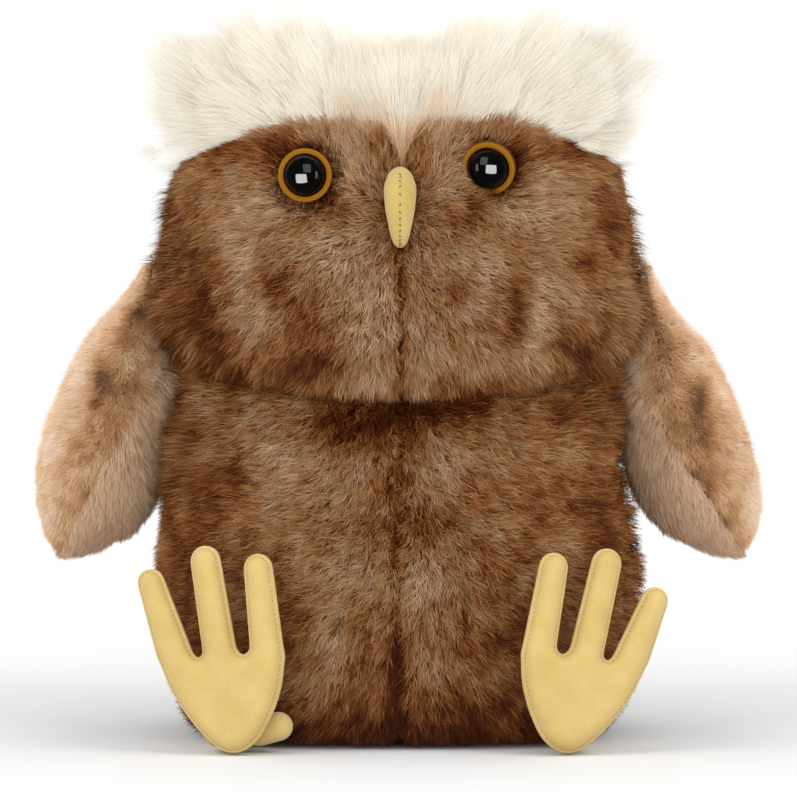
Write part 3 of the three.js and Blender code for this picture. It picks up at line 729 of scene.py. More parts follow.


# Marks in the plush, each as column, row, half width, half height and tilt in the photograph, and how much
# paler or darker the pile is there. Most are the pile's own patches, and some dark ones are painted shade.
MARK_DEPTH = 62
MARK_STRENGTH = 1.3
# On the face, the dark marks just outside the eyes' rings, down the seam under the beak and along the chin
# are painted shade.
FACE_PATCHES_AND_SHADE = [
    (240, 246, 20, 22, 0, 0.2), (330, 255, 36, 36, 0, 0.26), (252, 314, 18, 26, 0, 0.24),
    (372, 322, 24, 72, 0, 0.26), (265, 205, 22, 16, 0, 0.16), (345, 165, 16, 26, 10, 0.18),
    (447, 262, 34, 30, 0, 0.22), (512, 214, 36, 14, 8, 0.24), (537, 310, 13, 38, 0, 0.28),
    (585, 294, 28, 30, 0, 0.14), (529, 357, 22, 14, 0, 0.2), (418, 354, 16, 42, 0, 0.16),
    (455, 170, 18, 34, -6, 0.12), (530, 180, 16, 24, 0, 0.12), (277, 277, 20, 16, 20, -0.3),
    (343, 208, 28, 16, -8, -0.34), (200, 310, 36, 60, 10, -0.16), (306, 367, 66, 16, 12, -0.3),
    (338, 318, 24, 26, 0, -0.14), (245, 142, 75, 14, -16, -0.26), (460, 216, 26, 16, 0, -0.3),
    (579, 258, 14, 10, 0, -0.24), (456, 282, 9, 18, 0, -0.24), (514, 308, 10, 30, 0, -0.28),
    (402, 334, 5, 50, 0, -0.24), (598, 222, 36, 20, 0, -0.12), (574, 345, 26, 16, -30, -0.22),
    (562, 142, 58, 13, 18, -0.3), (490, 320, 22, 26, 0, -0.06), (460, 385, 80, 12, -14, -0.2),
    (307, 143, 8, 4, 0, -0.5), (519, 165, 3, 18, 0, -0.4),
]
# On the belly, the dark bands under the chin and along the floor, the line down the middle seam, the spot in
# the hollow by the right wing's root and the broad dark marks over the flanks are painted shade.
BELLY_PATCHES_AND_SHADE = [
    (275, 455, 30, 34, 0, 0.2), (358, 475, 30, 26, 0, 0.24), (210, 448, 9, 14, 0, 0.22),
    (360, 575, 30, 26, 0, 0.24), (313, 552, 18, 18, 0, 0.12), (445, 455, 28, 28, 0, 0.2),
    (486, 521, 18, 12, 0, 0.18), (422, 577, 22, 28, 0, 0.26), (566, 450, 32, 10, -8, 0.14),
    (336, 637, 20, 28, 20, 0.2), (434, 667, 26, 18, 0, 0.22), (372, 690, 18, 24, 0, 0.1),
    (347, 420, 60, 22, 6, -0.25), (434, 405, 40, 12, 0, -0.25), (574, 410, 42, 20, 0, -0.26),
    (190, 433, 20, 12, 0, -0.26), (238, 472, 22, 15, 0, -0.26), (283, 555, 10, 24, 0, -0.24),
    (165, 518, 10, 20, 0, -0.2), (383, 482, 16, 16, 0, -0.18), (574, 497, 42, 38, 0, -0.18),
    (443, 515, 26, 20, 0, -0.2), (399, 662, 8, 76, 0, -0.3), (488, 634, 26, 28, 0, -0.22),
    (480, 693, 34, 20, 0, -0.24), (400, 735, 150, 20, 0, -0.3), (312, 617, 10, 10, 0, -0.14),
    (182, 404, 7, 11, 0, -0.6), (215, 500, 34, 44, 0, -0.14), (180, 620, 30, 90, 0, -0.16),
    (600, 560, 40, 90, 0, -0.1),
]


def marked(points, marks, depth=MARK_DEPTH, strength=MARK_STRENGTH, rear=0):
    """How much paler the marks make each place that lies in front of a depth."""
    total = np.zeros(len(points))
    for column, row, wide, high, tilt, change in marks:
        x, z = photo_place(column, row, depth)
        dx, dz = points[:, 0] - x, points[:, 2] - z
        turn = math.radians(tilt)
        along = (dx * math.cos(turn) + dz * math.sin(turn)) / (wide * MM_PER_PIXEL)
        up = (-dx * math.sin(turn) + dz * math.cos(turn)) / (high * MM_PER_PIXEL)
        total += strength * change * np.exp(-(along**2 + up**2))
    return np.where(points[:, 1] < rear, total, 0)


# Where the pile's own colour lies on its ramp, and how far patches and streaks move it
BROWN_HUE = 0.42
MOTTLE_SIZE = 13
MOTTLE_SHARES = (0.25, 0.36)  # in front and behind
MOTTLE_STRETCH = np.array([1, 1, 0.6])
STREAK_SIZE = 2.6
STREAK_SHARE = 0.15
STREAK_STRETCH = np.array([1, 1, 0.45])


def mottled(points, seed):
    """Patches drawn out along the way that the pile lies."""
    streaks = noise(points * STREAK_STRETCH, STREAK_SIZE, seed + 9)
    share = np.where(points[:, 1] < 0, *MOTTLE_SHARES)
    return share * cloudy(points * MOTTLE_STRETCH, MOTTLE_SIZE, seed) + STREAK_SHARE * streaks


# Painted shade: how much darker the body is in its seam and in each zone, and from where to where it gets so
BODY_PAINTED_SHADE = {"low": 0.12, "chin": 0.1, "seam": 0.12, "side": 0.06}
BODY_LOW = (0, 45)
BODY_CHIN_HEIGHT = 22
BODY_SEAM_WIDTH = 1.6
BODY_SIDE = (52, 74)


def body_tint(points, normals):
    """Painted shade low down, under the chin, in the middle seam and at the sides."""
    x, y, z = points.T
    low = BODY_PAINTED_SHADE["low"] * (1 - smooth(z, *BODY_LOW))
    chin = BODY_PAINTED_SHADE["chin"] * smooth(z, neck_at(y) - BODY_CHIN_HEIGHT, neck_at(y))
    seam = BODY_PAINTED_SHADE["seam"] * bell(x, BODY_SEAM_WIDTH)
    side = BODY_PAINTED_SHADE["side"] * smooth(np.abs(x), *BODY_SIDE)
    return BROWN_HUE + mottled(points, 31) + marked(points, BELLY_PATCHES_AND_SHADE) - low - chin - seam - side


# The same painted shade for the head, with painted shadow round the eyes' rings, and how much paler it is
# over the beak
HEAD_PALE = 0.03
HEAD_PAINTED_SHADE = {"chin": 0.16, "seam": 0.3, "ring": 0.5, "side": 0.08}
HEAD_CHIN_HEIGHT = 14
HEAD_SEAM_WIDTH = 1.1
RING_SHADOW_WIDTH = 1.6
HEAD_SIDE = (46, 72)
PEACH, PEACH_WIDTH = 0.5, 18
PEACH_HEIGHTS = (194, 202)


def head_tint(points, normals):
    """Painted shade at the neck, in the seam, round the eyes' rings and at the sides, and peach over the
    beak.
    """
    x, y, z = points.T
    chin = HEAD_PAINTED_SHADE["chin"] * (1 - smooth(z, neck_at(y), neck_at(y) + HEAD_CHIN_HEIGHT))
    seam = HEAD_PAINTED_SHADE["seam"] * bell(x, HEAD_SEAM_WIDTH) * (z < BEAK_TOP)
    ring = HEAD_PAINTED_SHADE["ring"] * round_the_eyes(points, RING_SHADOW_WIDTH) * (1 - over_the_ring(points))
    side = HEAD_PAINTED_SHADE["side"] * smooth(np.abs(x), *HEAD_SIDE)
    peach = PEACH * bell(x, PEACH_WIDTH) * smooth(z, *PEACH_HEIGHTS) * (y < 0)
    tint = BROWN_HUE + HEAD_PALE + mottled(points, 47) + marked(points, FACE_PATCHES_AND_SHADE)
    return tint + peach - side - chin - seam - ring


# The crown's own hue, how much paler or darker it gets, and the zones where it does. The white at its edges
# is a painted glow of light through the hair's tips, and the darker band over the brow is painted shade.
CROWN_HUE = 0.71
CROWN_FRONT = -20
CROWN_TONES_AND_LIGHT = {"peach": 0.26, "point": 0.3, "parting": 0.2, "edge": 0.28, "cloud": 0.08, "brow": 0.06}
PEACH_BROW, PEACH_SIDE = (0, 7), (12, 40)
POINT_WIDTH, POINT_HEIGHTS = 9, (190, 204)
PARTING_WIDTH, PARTING_HEIGHTS = 4, (208, 218)
PAINTED_GLOW_SIDE, PAINTED_GLOW_HEIGHTS = (60, 76), (218, 228)
PAINTED_SHADE_BROW = (0, 12)
CROWN_CLOUD_SIZE = 12


def crown_tint(points, normals):
    """Cream, with a painted glow at its edges and painted shade over the brow, peach by the point over the
    beak and a little darker at the parting.
    """
    x, y, z = points.T
    height, tones = over_brow(points), CROWN_TONES_AND_LIGHT
    front = y < CROWN_FRONT
    peach = tones["peach"] * (1 - smooth(height, *PEACH_BROW)) * front * (1 - smooth(np.abs(x), *PEACH_SIDE))
    point = tones["point"] * bell(x, POINT_WIDTH) * (1 - smooth(z, *POINT_HEIGHTS)) * front
    parting = tones["parting"] * bell(x, PARTING_WIDTH) * smooth(z, *PARTING_HEIGHTS)
    # painted glow: the hair whitened towards the crown's sides and top, as light through its tips
    edge = np.maximum(smooth(np.abs(x), *PAINTED_GLOW_SIDE), smooth(z, *PAINTED_GLOW_HEIGHTS))
    clouds = tones["cloud"] * cloudy(points, CROWN_CLOUD_SIZE, 61)
    # the brow term is painted shade, darker just over the crown's lower edge
    tint = CROWN_HUE + tones["edge"] * edge + clouds - tones["brow"] * (1 - smooth(height, *PAINTED_SHADE_BROW))
    return tint - peach - point - parting


SWIRL_SIZE = 17  # of the patches in which the pile leans one way


def swirled(heading, points, normals, seed, angle):
    """A heading laid along the cloth and turned by up to an angle that changes from place to place."""
    heading = unit(heading - normals * dot(heading, normals))
    turn = (math.radians(angle) * noise(points, SWIRL_SIZE, seed))[:, None]
    return heading * np.cos(turn) + np.cross(normals, heading) * np.sin(turn)


def body_comb(points, normals):
    """Down, and outwards from the middle seam, level at the sides."""
    x, y, _ = points.T
    out = np.clip(x / 34, -1, 1) * 0.9
    side = smooth(np.abs(x), 30, 66) * (y < 20)
    return swirled(stack(out, 0, -0.85 + 0.3 * np.abs(out) + 0.42 * side), points, normals, 71, 30)


RADIANT_Z = 172  # the height on the beak that the face's pile spreads from
OVER_RING_ANGLE = 204  # of the middle of the arc of the left eye's ring that fur falls over
OVER_RING_SPREAD = 72


def over_the_ring(points):
    """1 where the fur beside the left eye leans over its ring, and 0 elsewhere."""
    eye = EYES["left"]
    dx, dz = points[:, 0] - eye["x"], points[:, 2] - eye["z"]
    away = np.degrees(np.arctan2(dz, dx)) - OVER_RING_ANGLE
    away = (away + 180) % 360 - 180
    near = 1 - smooth(np.hypot(dx, dz), RING_RADIUS + 3, RING_RADIUS + 7)
    return near * np.exp(-((away / OVER_RING_SPREAD) ** 4)) * (points[:, 1] < 0)


def head_comb(points, normals):
    """Away from the beak and the eyes over the face, and down over the back of the head."""
    x, y, z = points.T
    heading = unit(stack(x, 0, z - RADIANT_Z))
    heading[:, 2] -= 0.25 + 0.35 * smooth(np.abs(x), 25, 70)
    for eye in EYES.values():
        dx, dz = x - eye["x"], z - eye["z"]
        far = np.hypot(dx, dz)
        weight = 1.6 * bell(far - RING_RADIUS, 7) * (1 - 2 * over_the_ring(points))
        heading += (weight / np.maximum(far, TINY))[:, None] * stack(dx, 0, dz)
    heading = np.where((y < 12)[:, None], heading, np.array([0, 0.2, -1.0]))
    return swirled(heading, points, normals, 83, 22)


CROWN_FAN_Z = 176  # the height that the crown's hair spreads from


def crown_comb(points, normals):
    """Up and outwards from the point over the beak, level at the sides, and down the back."""
    x, y, z = points.T
    front = 1 - smooth(y, -20, 45)
    low = 33 * smooth(np.abs(x), 36, 66) * (1 - smooth(over_brow(points), 2, 16))
    spread = unit(stack(x * 0.62, y * 0.15, z - CROWN_FAN_Z - low))
    rear = unit(stack(x * 0.6, y * 0.5, -30))
    return unit(spread * front[:, None] + rear * (1 - front[:, None]))


def wing_comb(side):
    """Down the wing, swirled a little."""
    down = np.array([side * math.sin(WING_HANG), 0, -math.cos(WING_HANG)])
    return lambda points, normals: swirled(down, points, normals, 111, 40)


WING_MARKS = [
    (103, 376, 16, 20, 0, -0.52), (140, 308, 14, 7, 0, -0.3), (76, 458, 18, 5, 10, -0.26),
    (699, 388, 11, 24, 0, -0.42), (715, 430, 40, 90, 0, -0.12), (712, 442, 10, 7, 0, -0.24),
    (682, 474, 12, 7, 0, -0.4), (714, 525, 10, 9, 30, -0.45), (700, 480, 9, 14, 30, -0.2),
    (95, 400, 7, 9, 0, -0.3), (150, 345, 22, 22, 0, -0.14), (136, 385, 14, 14, 0, -0.14),
    (658, 340, 18, 30, 0, -0.16),
]
# painted shadow in the hollow between each wing's root and the body
LINING_PAINTED_SHADOWS = [(181, 405, 12, 18, 0, -0.6), (619, 400, 12, 18, 0, -0.5)]
WING_MARK_DEPTH = 20
WING_MARK_REAR = 10


def wing_marked(points, marks):
    """How much paler the marks make each place on a wing."""
    return marked(points, marks, WING_MARK_DEPTH, 1, WING_MARK_REAR)


WING_HUE, LINING_HUE = 0.49, 0.5
WING_EDGE, WING_EDGE_SPAN = 0.28, (0.25, 0.95)
WING_ROOT_DARK, WING_ROOT_HEIGHTS = 0.06, (100, 150)
WING_CLOUD, WING_CLOUD_SIZE = 0.24, 9
WING_SPECK, WING_SPECK_SIZE = 0.12, 2.5
LINING_STREAK, LINING_STREAK_SIZE = 0.16, 8
LINING_STRETCH = np.array([1, 1, 0.4])


def wing_tint(points, normals):
    """Tan with brown smudges, paler along its outer edge and browner by its root."""
    out = np.abs(normals[:, 0]) * math.cos(WING_HANG) + normals[:, 2] * math.sin(WING_HANG)
    edge = WING_EDGE * smooth(out, *WING_EDGE_SPAN)
    edge = edge - WING_ROOT_DARK * smooth(points[:, 2], *WING_ROOT_HEIGHTS)
    clouds = WING_CLOUD * cloudy(points, WING_CLOUD_SIZE, 91)
    clouds = clouds + WING_SPECK * noise(points, WING_SPECK_SIZE, 97)
    return WING_HUE + edge + clouds + wing_marked(points, WING_MARKS)


def lining_tint(points, normals):
    """Streaks drawn out down the wing, and painted shadow in the hollow by its root."""
    streaks = LINING_STREAK * cloudy(points * LINING_STRETCH, LINING_STREAK_SIZE, 101)
    return LINING_HUE + streaks + wing_marked(points, LINING_PAINTED_SHADOWS)


SHOULDER_LAP = 3.5  # by which the torso's pile reaches under the edge of a wing's root
RING_LAP = 2  # by which the face's pile reaches under the rings of the eyes
BEAK_LAP = 0.4


def off_the_shoulders(points, normals):
    """Not under the wings' roots."""
    x, y, z = points.T
    far = np.hypot(np.abs(x) - HINGE_X, z - HINGE_Z)
    along = (HINGE_Z + SHOULDER_RADIUS - z) / (WING_LENGTH + SHOULDER_RADIUS)
    wide = np.interp(along, *zip(*[(row[0], row[2]) for row in WING_SHARES]), left=0)
    return (far > SHOULDER_RADIUS - SHOULDER_LAP) | (np.abs(y) > WING_HALF_WIDTH * wide - SHOULDER_LAP)


def on_the_head(points, normals):
    """Not under the wings' roots, the eyes' rings or the beak."""
    x, y, z = points.T
    covered = np.full(len(points), False)
    for eye in EYES.values():
        covered |= np.hypot(x - eye["x"], z - eye["z"]) < RING_RADIUS - RING_LAP
    share = (BEAK_TOP - z) / BEAK_LENGTH
    half = BEAK_WIDTH / 2 * np.interp(share, *zip(*[row[:2] for row in BEAK_SHARES]), left=0, right=0)
    covered |= np.abs(x) < half - BEAK_LAP
    return off_the_shoulders(points, normals) & ~(covered & (y < 0))


def by_the_wings(points):
    """1 beside the edges of the wings where they hang against the body, and 0 away from them."""
    x, y, z = points.T
    side = smooth(np.abs(x), 0.62 * BODY_HALF_WIDTH, 0.8 * BODY_HALF_WIDTH)
    low = np.where(x < 0, 14, 0)
    return side * (1 - smooth(np.abs(y), 36, 52)) * smooth(z + low, 88, 108) * (1 - smooth(z, 160, 170))


def outermost(x, half_width):
    """1 at the side of a form, and 0 over the middle four fifths of it."""
    return smooth(x, 0.8 * half_width, half_width)


def spikes(points):
    """1 where a small tuft stands out from the pile, and 0 between such tufts."""
    return smooth(noise(points, 3.2, 131), 0.1, 0.5)


def body_reach(points, normals):
    """Pressed flat low on the right side and short on the left one, and shorter in the seam."""
    x, _, z = points.T
    low = 1 - smooth(z, 24, 50)
    left = 0.75 * spikes(points) - 0.72
    sides = outermost(np.abs(x), BODY_HALF_WIDTH) * np.where(x < 0, 0.3 * spikes(points) - 0.55 * low, left)
    return 1 + sides - 0.4 * bell(x, 1.8) + 0.8 * by_the_wings(points)


def body_stand(points):
    """Degrees by which the pile stands more upright: beside the wings, and on the left side."""
    return 34 * by_the_wings(points) + 18 * outermost(points[:, 0], BODY_HALF_WIDTH)


def round_the_eyes(points, reach):
    """1 by the rings of the eyes, and 0 further away than that."""
    x, y, z = points.T
    near = np.zeros(len(points))
    for eye in EYES.values():
        far = np.hypot(x - eye["x"], z - eye["z"]) - RING_RADIUS
        near = np.maximum(near, (y < 0) * (1 - smooth(far, 0, reach)))
    return near


def off_the_beak(points):
    """How far from the beak's middle a place lies, where 1 is just beside it."""
    return np.hypot(points[:, 0] / 8, (points[:, 2] - RADIANT_Z) / 17)


def head_stand(points):
    """Degrees by which the pile stands more upright by the eyes, the beak and the wings and at the sides."""
    x, y, _ = points.T
    by_beak = (y < 0) * (1 - smooth(off_the_beak(points), 0.7, 1.6))
    eyes = round_the_eyes(points, 6) * (56 - 88 * over_the_ring(points))
    sides = 14 * outermost(np.abs(x), HEAD_HALF_WIDTH)
    return eyes + 8 * by_beak + 20 * by_the_wings(points) + sides


def head_reach(points, normals):
    """Shorter by the eyes, the beak and the brow, in the seam, and uneven at the sides."""
    x, y, z = points.T
    share = 1 - (0.38 - 1.05 * over_the_ring(points)) * round_the_eyes(points, 8)
    near = 0.75 + 0.25 * smooth(off_the_beak(points), 0.6, 1.7)
    share = np.where(y < 0, np.minimum(share, near), share)
    share = share * (1 - 0.35 * smooth(np.abs(x), 40, 60) * (1 - smooth(-over_brow(points), 0, 8)))
    out = np.where(x < 0, 0.5 * spikes(points) - 0.15, 0.6 * spikes(points) - 0.5)
    neck = by_the_wings(points) * (1 - smooth(z, 140, 156))
    share = share * (1 + out * smooth(np.abs(normals[:, 0]), 0.8, 1)) + 0.7 * neck
    return share - 0.4 * bell(x, 1.4)


def crown_reach(points, normals):
    """Shorter at the brow, the sides and the back, over the flat top and between the two lobes."""
    x, y, z = points.T
    height = over_brow(points)
    dip = 0.5 * bell(x, 12) * smooth(z, 200, 215)
    top = 0.3 * smooth(normals[:, 2], 0.75, 0.98)
    side = 0.34 * smooth(np.abs(x), 54, 74) * (1 - smooth(z, 208, 220)) * np.where(x < 0, 0.5, 1)
    rear = 0.3 * smooth(y, 30, 60)
    return (0.5 + 0.5 * smooth(height, 0, 14)) * (1 - dip) * (1 - top) * (1 - side) * (1 - rear)


def crown_stand(points):
    """More upright over the top of the head, and at its upper corners."""
    return 10 * smooth(points[:, 2], 204, 222)


def crown_sink(points):
    """The crown's cloth meets the head's along the brow."""
    deep = PLUSH["inset"] / CROWN_HAIR["inset"]
    return 1 + (deep - 1) * (1 - smooth(over_brow(points), 0, 9))


QUARTERS = {
    "front_left": (-math.pi / 2, 0), "front_right": (-math.pi, -math.pi / 2),
    "back_left": (0, math.pi / 2), "back_right": (math.pi / 2, math.pi),
}
SEEDS = {"body": 100, "head": 200, "crown": 300, "wing": 400, "lining": 500, "base": 600}
BODY_START = 0.01  # of the way up the body, where its panels start
HEAD_TUCK = -0.2  # by which the head's cloth runs on under the neck seam
BODY_MIDDLE = (0, 0, 70)
HEAD_MIDDLE = (0, 0, 170)
CROWN_MIDDLE = (0, 0, 180)
TUCK_DEPTH = 14  # the height beside the neck seam over which the cloth comes up to the seam
TUCK_SHARE = 0.45


def tucked(points):
    """The cloth lies less deep by the neck seam."""
    far = np.abs(points[..., 2] - neck_at(points[..., 1]))
    return 1 - TUCK_SHARE * (1 - smooth(far, 0, TUCK_DEPTH))


def make_body():
    """The four panels of the body."""
    for number, (quarter, span) in enumerate(QUARTERS.items()):
        fur_piece(
            "body_" + quarter, "torso", BROWN, body_place, span, (BODY_START, 1),
            BODY_MIDDLE, PLUSH, body_comb, body_tint, SEEDS["body"] + number, keep=off_the_shoulders,
            reach=body_reach, sink=tucked, stand=body_stand, cloth_vs=(BODY_START, 1 / BODY_TOP),
        )


def make_head():
    """The four panels of the head under the crown."""
    names = {
        "front_left": "face_left", "front_right": "face_right",
        "back_left": "head_back_left", "back_right": "head_back_right",
    }
    for number, (quarter, span) in enumerate(QUARTERS.items()):
        name = names[quarter]
        fur_piece(
            name, "torso", BROWN, below_brow, span, (0, 1), HEAD_MIDDLE,
            HEAD_PLUSH if "face" in name else REAR_PLUSH, head_comb, head_tint, SEEDS["head"] + number,
            keep=on_the_head, reach=head_reach, sink=tucked, stand=head_stand, cloth_vs=(HEAD_TUCK, 1),
        )


def make_crown():
    """The two halves of the crown, which mirror each other."""
    for number, (side, sign) in enumerate(SIDES.items()):
        def place(turn, share, sign=sign):
            return above_brow(turn, share) * np.array([sign, 1, 1])
        fur_piece(
            "crown_" + side, "torso", CREAM, place, (-math.pi / 2, math.pi / 2), (0, 1),
            CROWN_MIDDLE, CROWN_HAIR, crown_comb, crown_tint, SEEDS["crown"] + number,
            reach=crown_reach, sink=crown_sink, stand=crown_stand, shaded=False,
        )


WING_SPAN = (0.004, 0.999)  # of the way down a wing that its panels cover
SEAM_ROWS = 400
LEAST_LINING = 0.05  # radians that the lining takes up where it starts
ROOT_SINK, ROOT_SINK_HEIGHTS = 0.55, (136, 154)
NECK_GAP_START, NECK_GAP_END = (104, 120), (145, 153)  # heights
NECK_GAP_REACH = 0.8
NECK_GAP_STAND = 26


def wing_sink(points):
    """The cloth of a wing lies less deep by its thin root."""
    return 1 - ROOT_SINK * smooth(points[..., 2], *ROOT_SINK_HEIGHTS)


def by_the_neck(points):
    """1 high on a wing's lining, where the torso draws in at the neck, and 0 elsewhere."""
    return smooth(points[:, 2], *NECK_GAP_START) * (1 - smooth(points[:, 2], *NECK_GAP_END))


def wing_reach(points, normals):
    """Shorter by the wing's root."""
    return 1 - 0.35 * smooth(points[:, 2], 132, 152) - 0.1 * smooth(points[:, 2], 148, 157)


def lining_reach(points, normals):
    """Longer where the torso draws in at the neck."""
    return 1 + NECK_GAP_REACH * by_the_neck(points)


def lining_stand(points):
    """Degrees by which the lining's pile stands more upright there."""
    return NECK_GAP_STAND * by_the_neck(points)


def make_wings():
    """The outer panel and the lining of each wing."""
    for number, (name, side) in enumerate(SIDES.items()):
        body = "wing_" + name
        rises = np.linspace(0, 1, SEAM_ROWS)
        lining_start = rises[np.argmax(seam_turn(rises) < math.pi - LEAST_LINING)]
        fur_piece(
            body + "_outer", body, TAN, outer_wing(side), (-1, 1), WING_SPAN, -side,
            CURLY, wing_comb(side), wing_tint, SEEDS["wing"] + number, reach=wing_reach, sink=wing_sink,
        )
        fur_piece(
            body + "_lining", body, GREY, wing_lining(side), (-1, 1),
            (lining_start, WING_SPAN[1]), -side, SLEEK, wing_comb(side), lining_tint,
            SEEDS["lining"] + number, reach=lining_reach, sink=wing_sink, stand=lining_stand,
        )


WING_STUFFING_DEPTH = 7  # under the wing's surface
WING_STUFFING_SPAN = (0.26, 0.96)  # of the way down the wing
WING_STUFFING_RINGS = 32
WING_STUFFING_SIDES = 48


def make_wing_stuffing(fibre):
    """Loose fibre that follows the wing where it is pressed on the body."""
    turns = np.linspace(0, FULL_TURN, WING_STUFFING_SIDES, endpoint=False)
    for name, side in SIDES.items():
        rings = []
        for rise in np.linspace(*WING_STUFFING_SPAN, WING_STUFFING_RINGS):
            points, normals = frame_at(
                lambda u, v: wing_place(side, u, v), turns, np.full(len(turns), rise), -side,
            )
            rings.append(points - normals * WING_STUFFING_DEPTH)
        rings = [[rings[0].mean(axis=0)], *rings, [rings[-1].mean(axis=0)]]
        node = f"wing_{name}_stuffing"
        declare(mesh_piece(node + "_fibre", *lofted(rings), fibre), "wing_" + name, [node])


def turned_out(points, faces):
    """The faces of a closed mesh, turned so that they all point out of it."""
    a, b, c = (points[faces[:, i]] for i in range(3))
    volume = np.sum(np.cross(a, b) * c)
    return faces if volume > 0 else faces[:, ::-1]


def lofted(rings, closed=False):
    """A closed mesh through rings of as many points each, where a ring of one point is an end."""
    points, rows = [], []
    most = max(len(ring) for ring in rings)
    for ring in rings:
        count = len(ring)
        rows.append(np.arange(count) + len(points) if count > 1 else np.full(most, len(points)))
        points += list(ring)
    if closed:
        rows.append(rows[0])
    faces = []
    for one, other in zip(rows, rows[1:]):
        ahead, beyond = np.roll(one, -1), np.roll(other, -1)
        faces += [np.stack([one, ahead, beyond], axis=-1), np.stack([one, beyond, other], axis=-1)]
    faces = np.concatenate(faces)
    a, b, c = faces.T
    faces = faces[(a != b) & (b != c) & (a != c)]
    points = np.array(points)
    return points, turned_out(points, faces)


def lathe(rows, segments=64, closed=False):
    """A body of revolution about Y, from rows of radius and y."""
    turns = np.arange(segments) / segments * FULL_TURN
    rings = []
    for radius, y in rows:
        ring = stack(radius * np.cos(turns), y, radius * np.sin(turns))
        rings.append(ring if radius else ring[:1])
    return lofted(rings, closed)


def eye_place(eye):
    """The middle of an eye, in the surface of the face."""
    return Vector((eye["x"], -float(face_depth_at(eye["x"], eye["z"])), eye["z"]))


def eye_matrix(eye):
    """The frame of an eye, whose y runs into the head."""
    turn = math.radians(math.copysign(1, eye["x"]) * eye["turn"])
    return (
        Matrix.Translation(eye_place(eye)) @ Matrix.Rotation(turn, 4, "Z")
        @ Matrix.Rotation(math.radians(eye["tip"]), 4, "X")
    )


def placed(points, matrix):
    """Points brought out of a frame of their own."""
    matrix = np.array(matrix)
    return points @ matrix[:3, :3].T + matrix[:3, 3]


def gloss_material():
    """Black plastic, a trace uneven in its tone."""
    material, nodes, links, shader = new_material("black_gloss_dome", roughness=0.04, specular=0.15)
    clouds = cloud(nodes, scale=900).outputs["Fac"]
    tone = ramp(nodes, links, clouds, [(0.35, "#020202"), (0.7, "#070606")])
    links.new(tone, shader.inputs["Base Color"])
    return material


def amber_material():
    """Amber plastic, with painted shade by the pupil and at the outer edge."""
    material, nodes, links, shader = new_material("amber_gloss_ring", roughness=0.4, specular=0.12)
    clouds = cloud(nodes, scale=350, detail=4).outputs["Fac"]
    tone = ramp(nodes, links, clouds, [(0.25, "#744A06"), (0.5, "#845608"), (0.75, "#94640E")])
    # painted shade: dark where the ring meets the pupil's dome, and duller at its outer edge beside the fur
    rim = ramp(nodes, links, map_places(nodes, links)[0], [
        (0, "#3A1206"), (0.06, "#6A340E"), (0.16, "#FFFFFF"), (0.92, "#FFFFFF"), (1, "#A98A60"),
    ])
    multiply(nodes, links, tone, rim, shader.inputs["Base Color"])
    return material


# What each eye mirrors: the eye, the card's direction from it in degrees across and up, its size in metres
# and its power
EYE_CARDS = [
    ("right", -19, -20, (0.56, 0.44), 36), ("right", 12, 32, (0.36, 0.44), 2.6),
    ("right", 62, 0, (0.14, 0.3), 1), ("left", 10, -14, (0.56, 0.44), 36),
    ("left", -30, 30, (0.36, 0.44), 2.6), ("left", -64, -2, (0.14, 0.3), 1),
]
CARD_DISTANCE = 0.55  # in metres


def make_eye_cards(name, dome):
    """Bright cards that nothing but this eye mirrors."""
    group = bpy.data.collections.new(f"eye_{name}_mirrors")
    group.objects.link(dome)
    place = eye_place(EYES[name]) * METRE
    for number, (owner, across, up, size, power) in enumerate(EYE_CARDS):
        if owner != name:
            continue
        turn, rise = math.radians(across), math.radians(up)
        way = Vector((math.sin(turn) * math.cos(rise), -math.cos(turn) * math.cos(rise), math.sin(rise)))
        lamp = make_lamp(f"eye_card_{number + 1}", place + way * CARD_DISTANCE, place, size, power)
        lamp.light_linking.receiver_collection = group
        lamp.visible_diffuse = False


DOME_STEPS = 24
DOME_WALL = 1.2  # of the dome's straight side
RING_STEPS = 16
RING_MAP_EDGE = 0.01
BORE = PUPIL_RADIUS + 0.25  # the radius of the ring's hole
RING_SET_BACK = 0.5
RING_BULGE = 0.45  # of the ring's front, as a share of a half circle


def eye_rows():
    """Rows of radius and depth of an eye's dome with its stem, its ring and its washer."""
    angles = np.arange(DOME_STEPS + 1) / DOME_STEPS * math.pi / 2
    dome = [(PUPIL_RADIUS * math.sin(angle), -PUPIL_HEIGHT * math.cos(angle)) for angle in angles]
    dome += [(PUPIL_RADIUS, DOME_WALL), (STEM_RADIUS, DOME_WALL)]
    dome += [(STEM_RADIUS, STEM_LENGTH), (0, STEM_LENGTH)]
    half = (RING_RADIUS - BORE) / 2
    ring = []
    for i in range(RING_STEPS + 1):
        angle = math.pi * (1 - i / RING_STEPS)
        bulge = half * RING_BULGE * math.sin(angle)
        ring.append((BORE + half + half * math.cos(angle), RING_SET_BACK - bulge))
    ring += [(RING_RADIUS, RING_THICKNESS), (BORE, RING_THICKNESS)]
    near, far, hole = WASHER_DEPTH, WASHER_DEPTH + WASHER_THICKNESS, STEM_RADIUS + WASHER_GAP
    washer = [(hole, near), (WASHER_RADIUS, near), (WASHER_RADIUS, far), (hole, far)]
    return dome, ring, washer


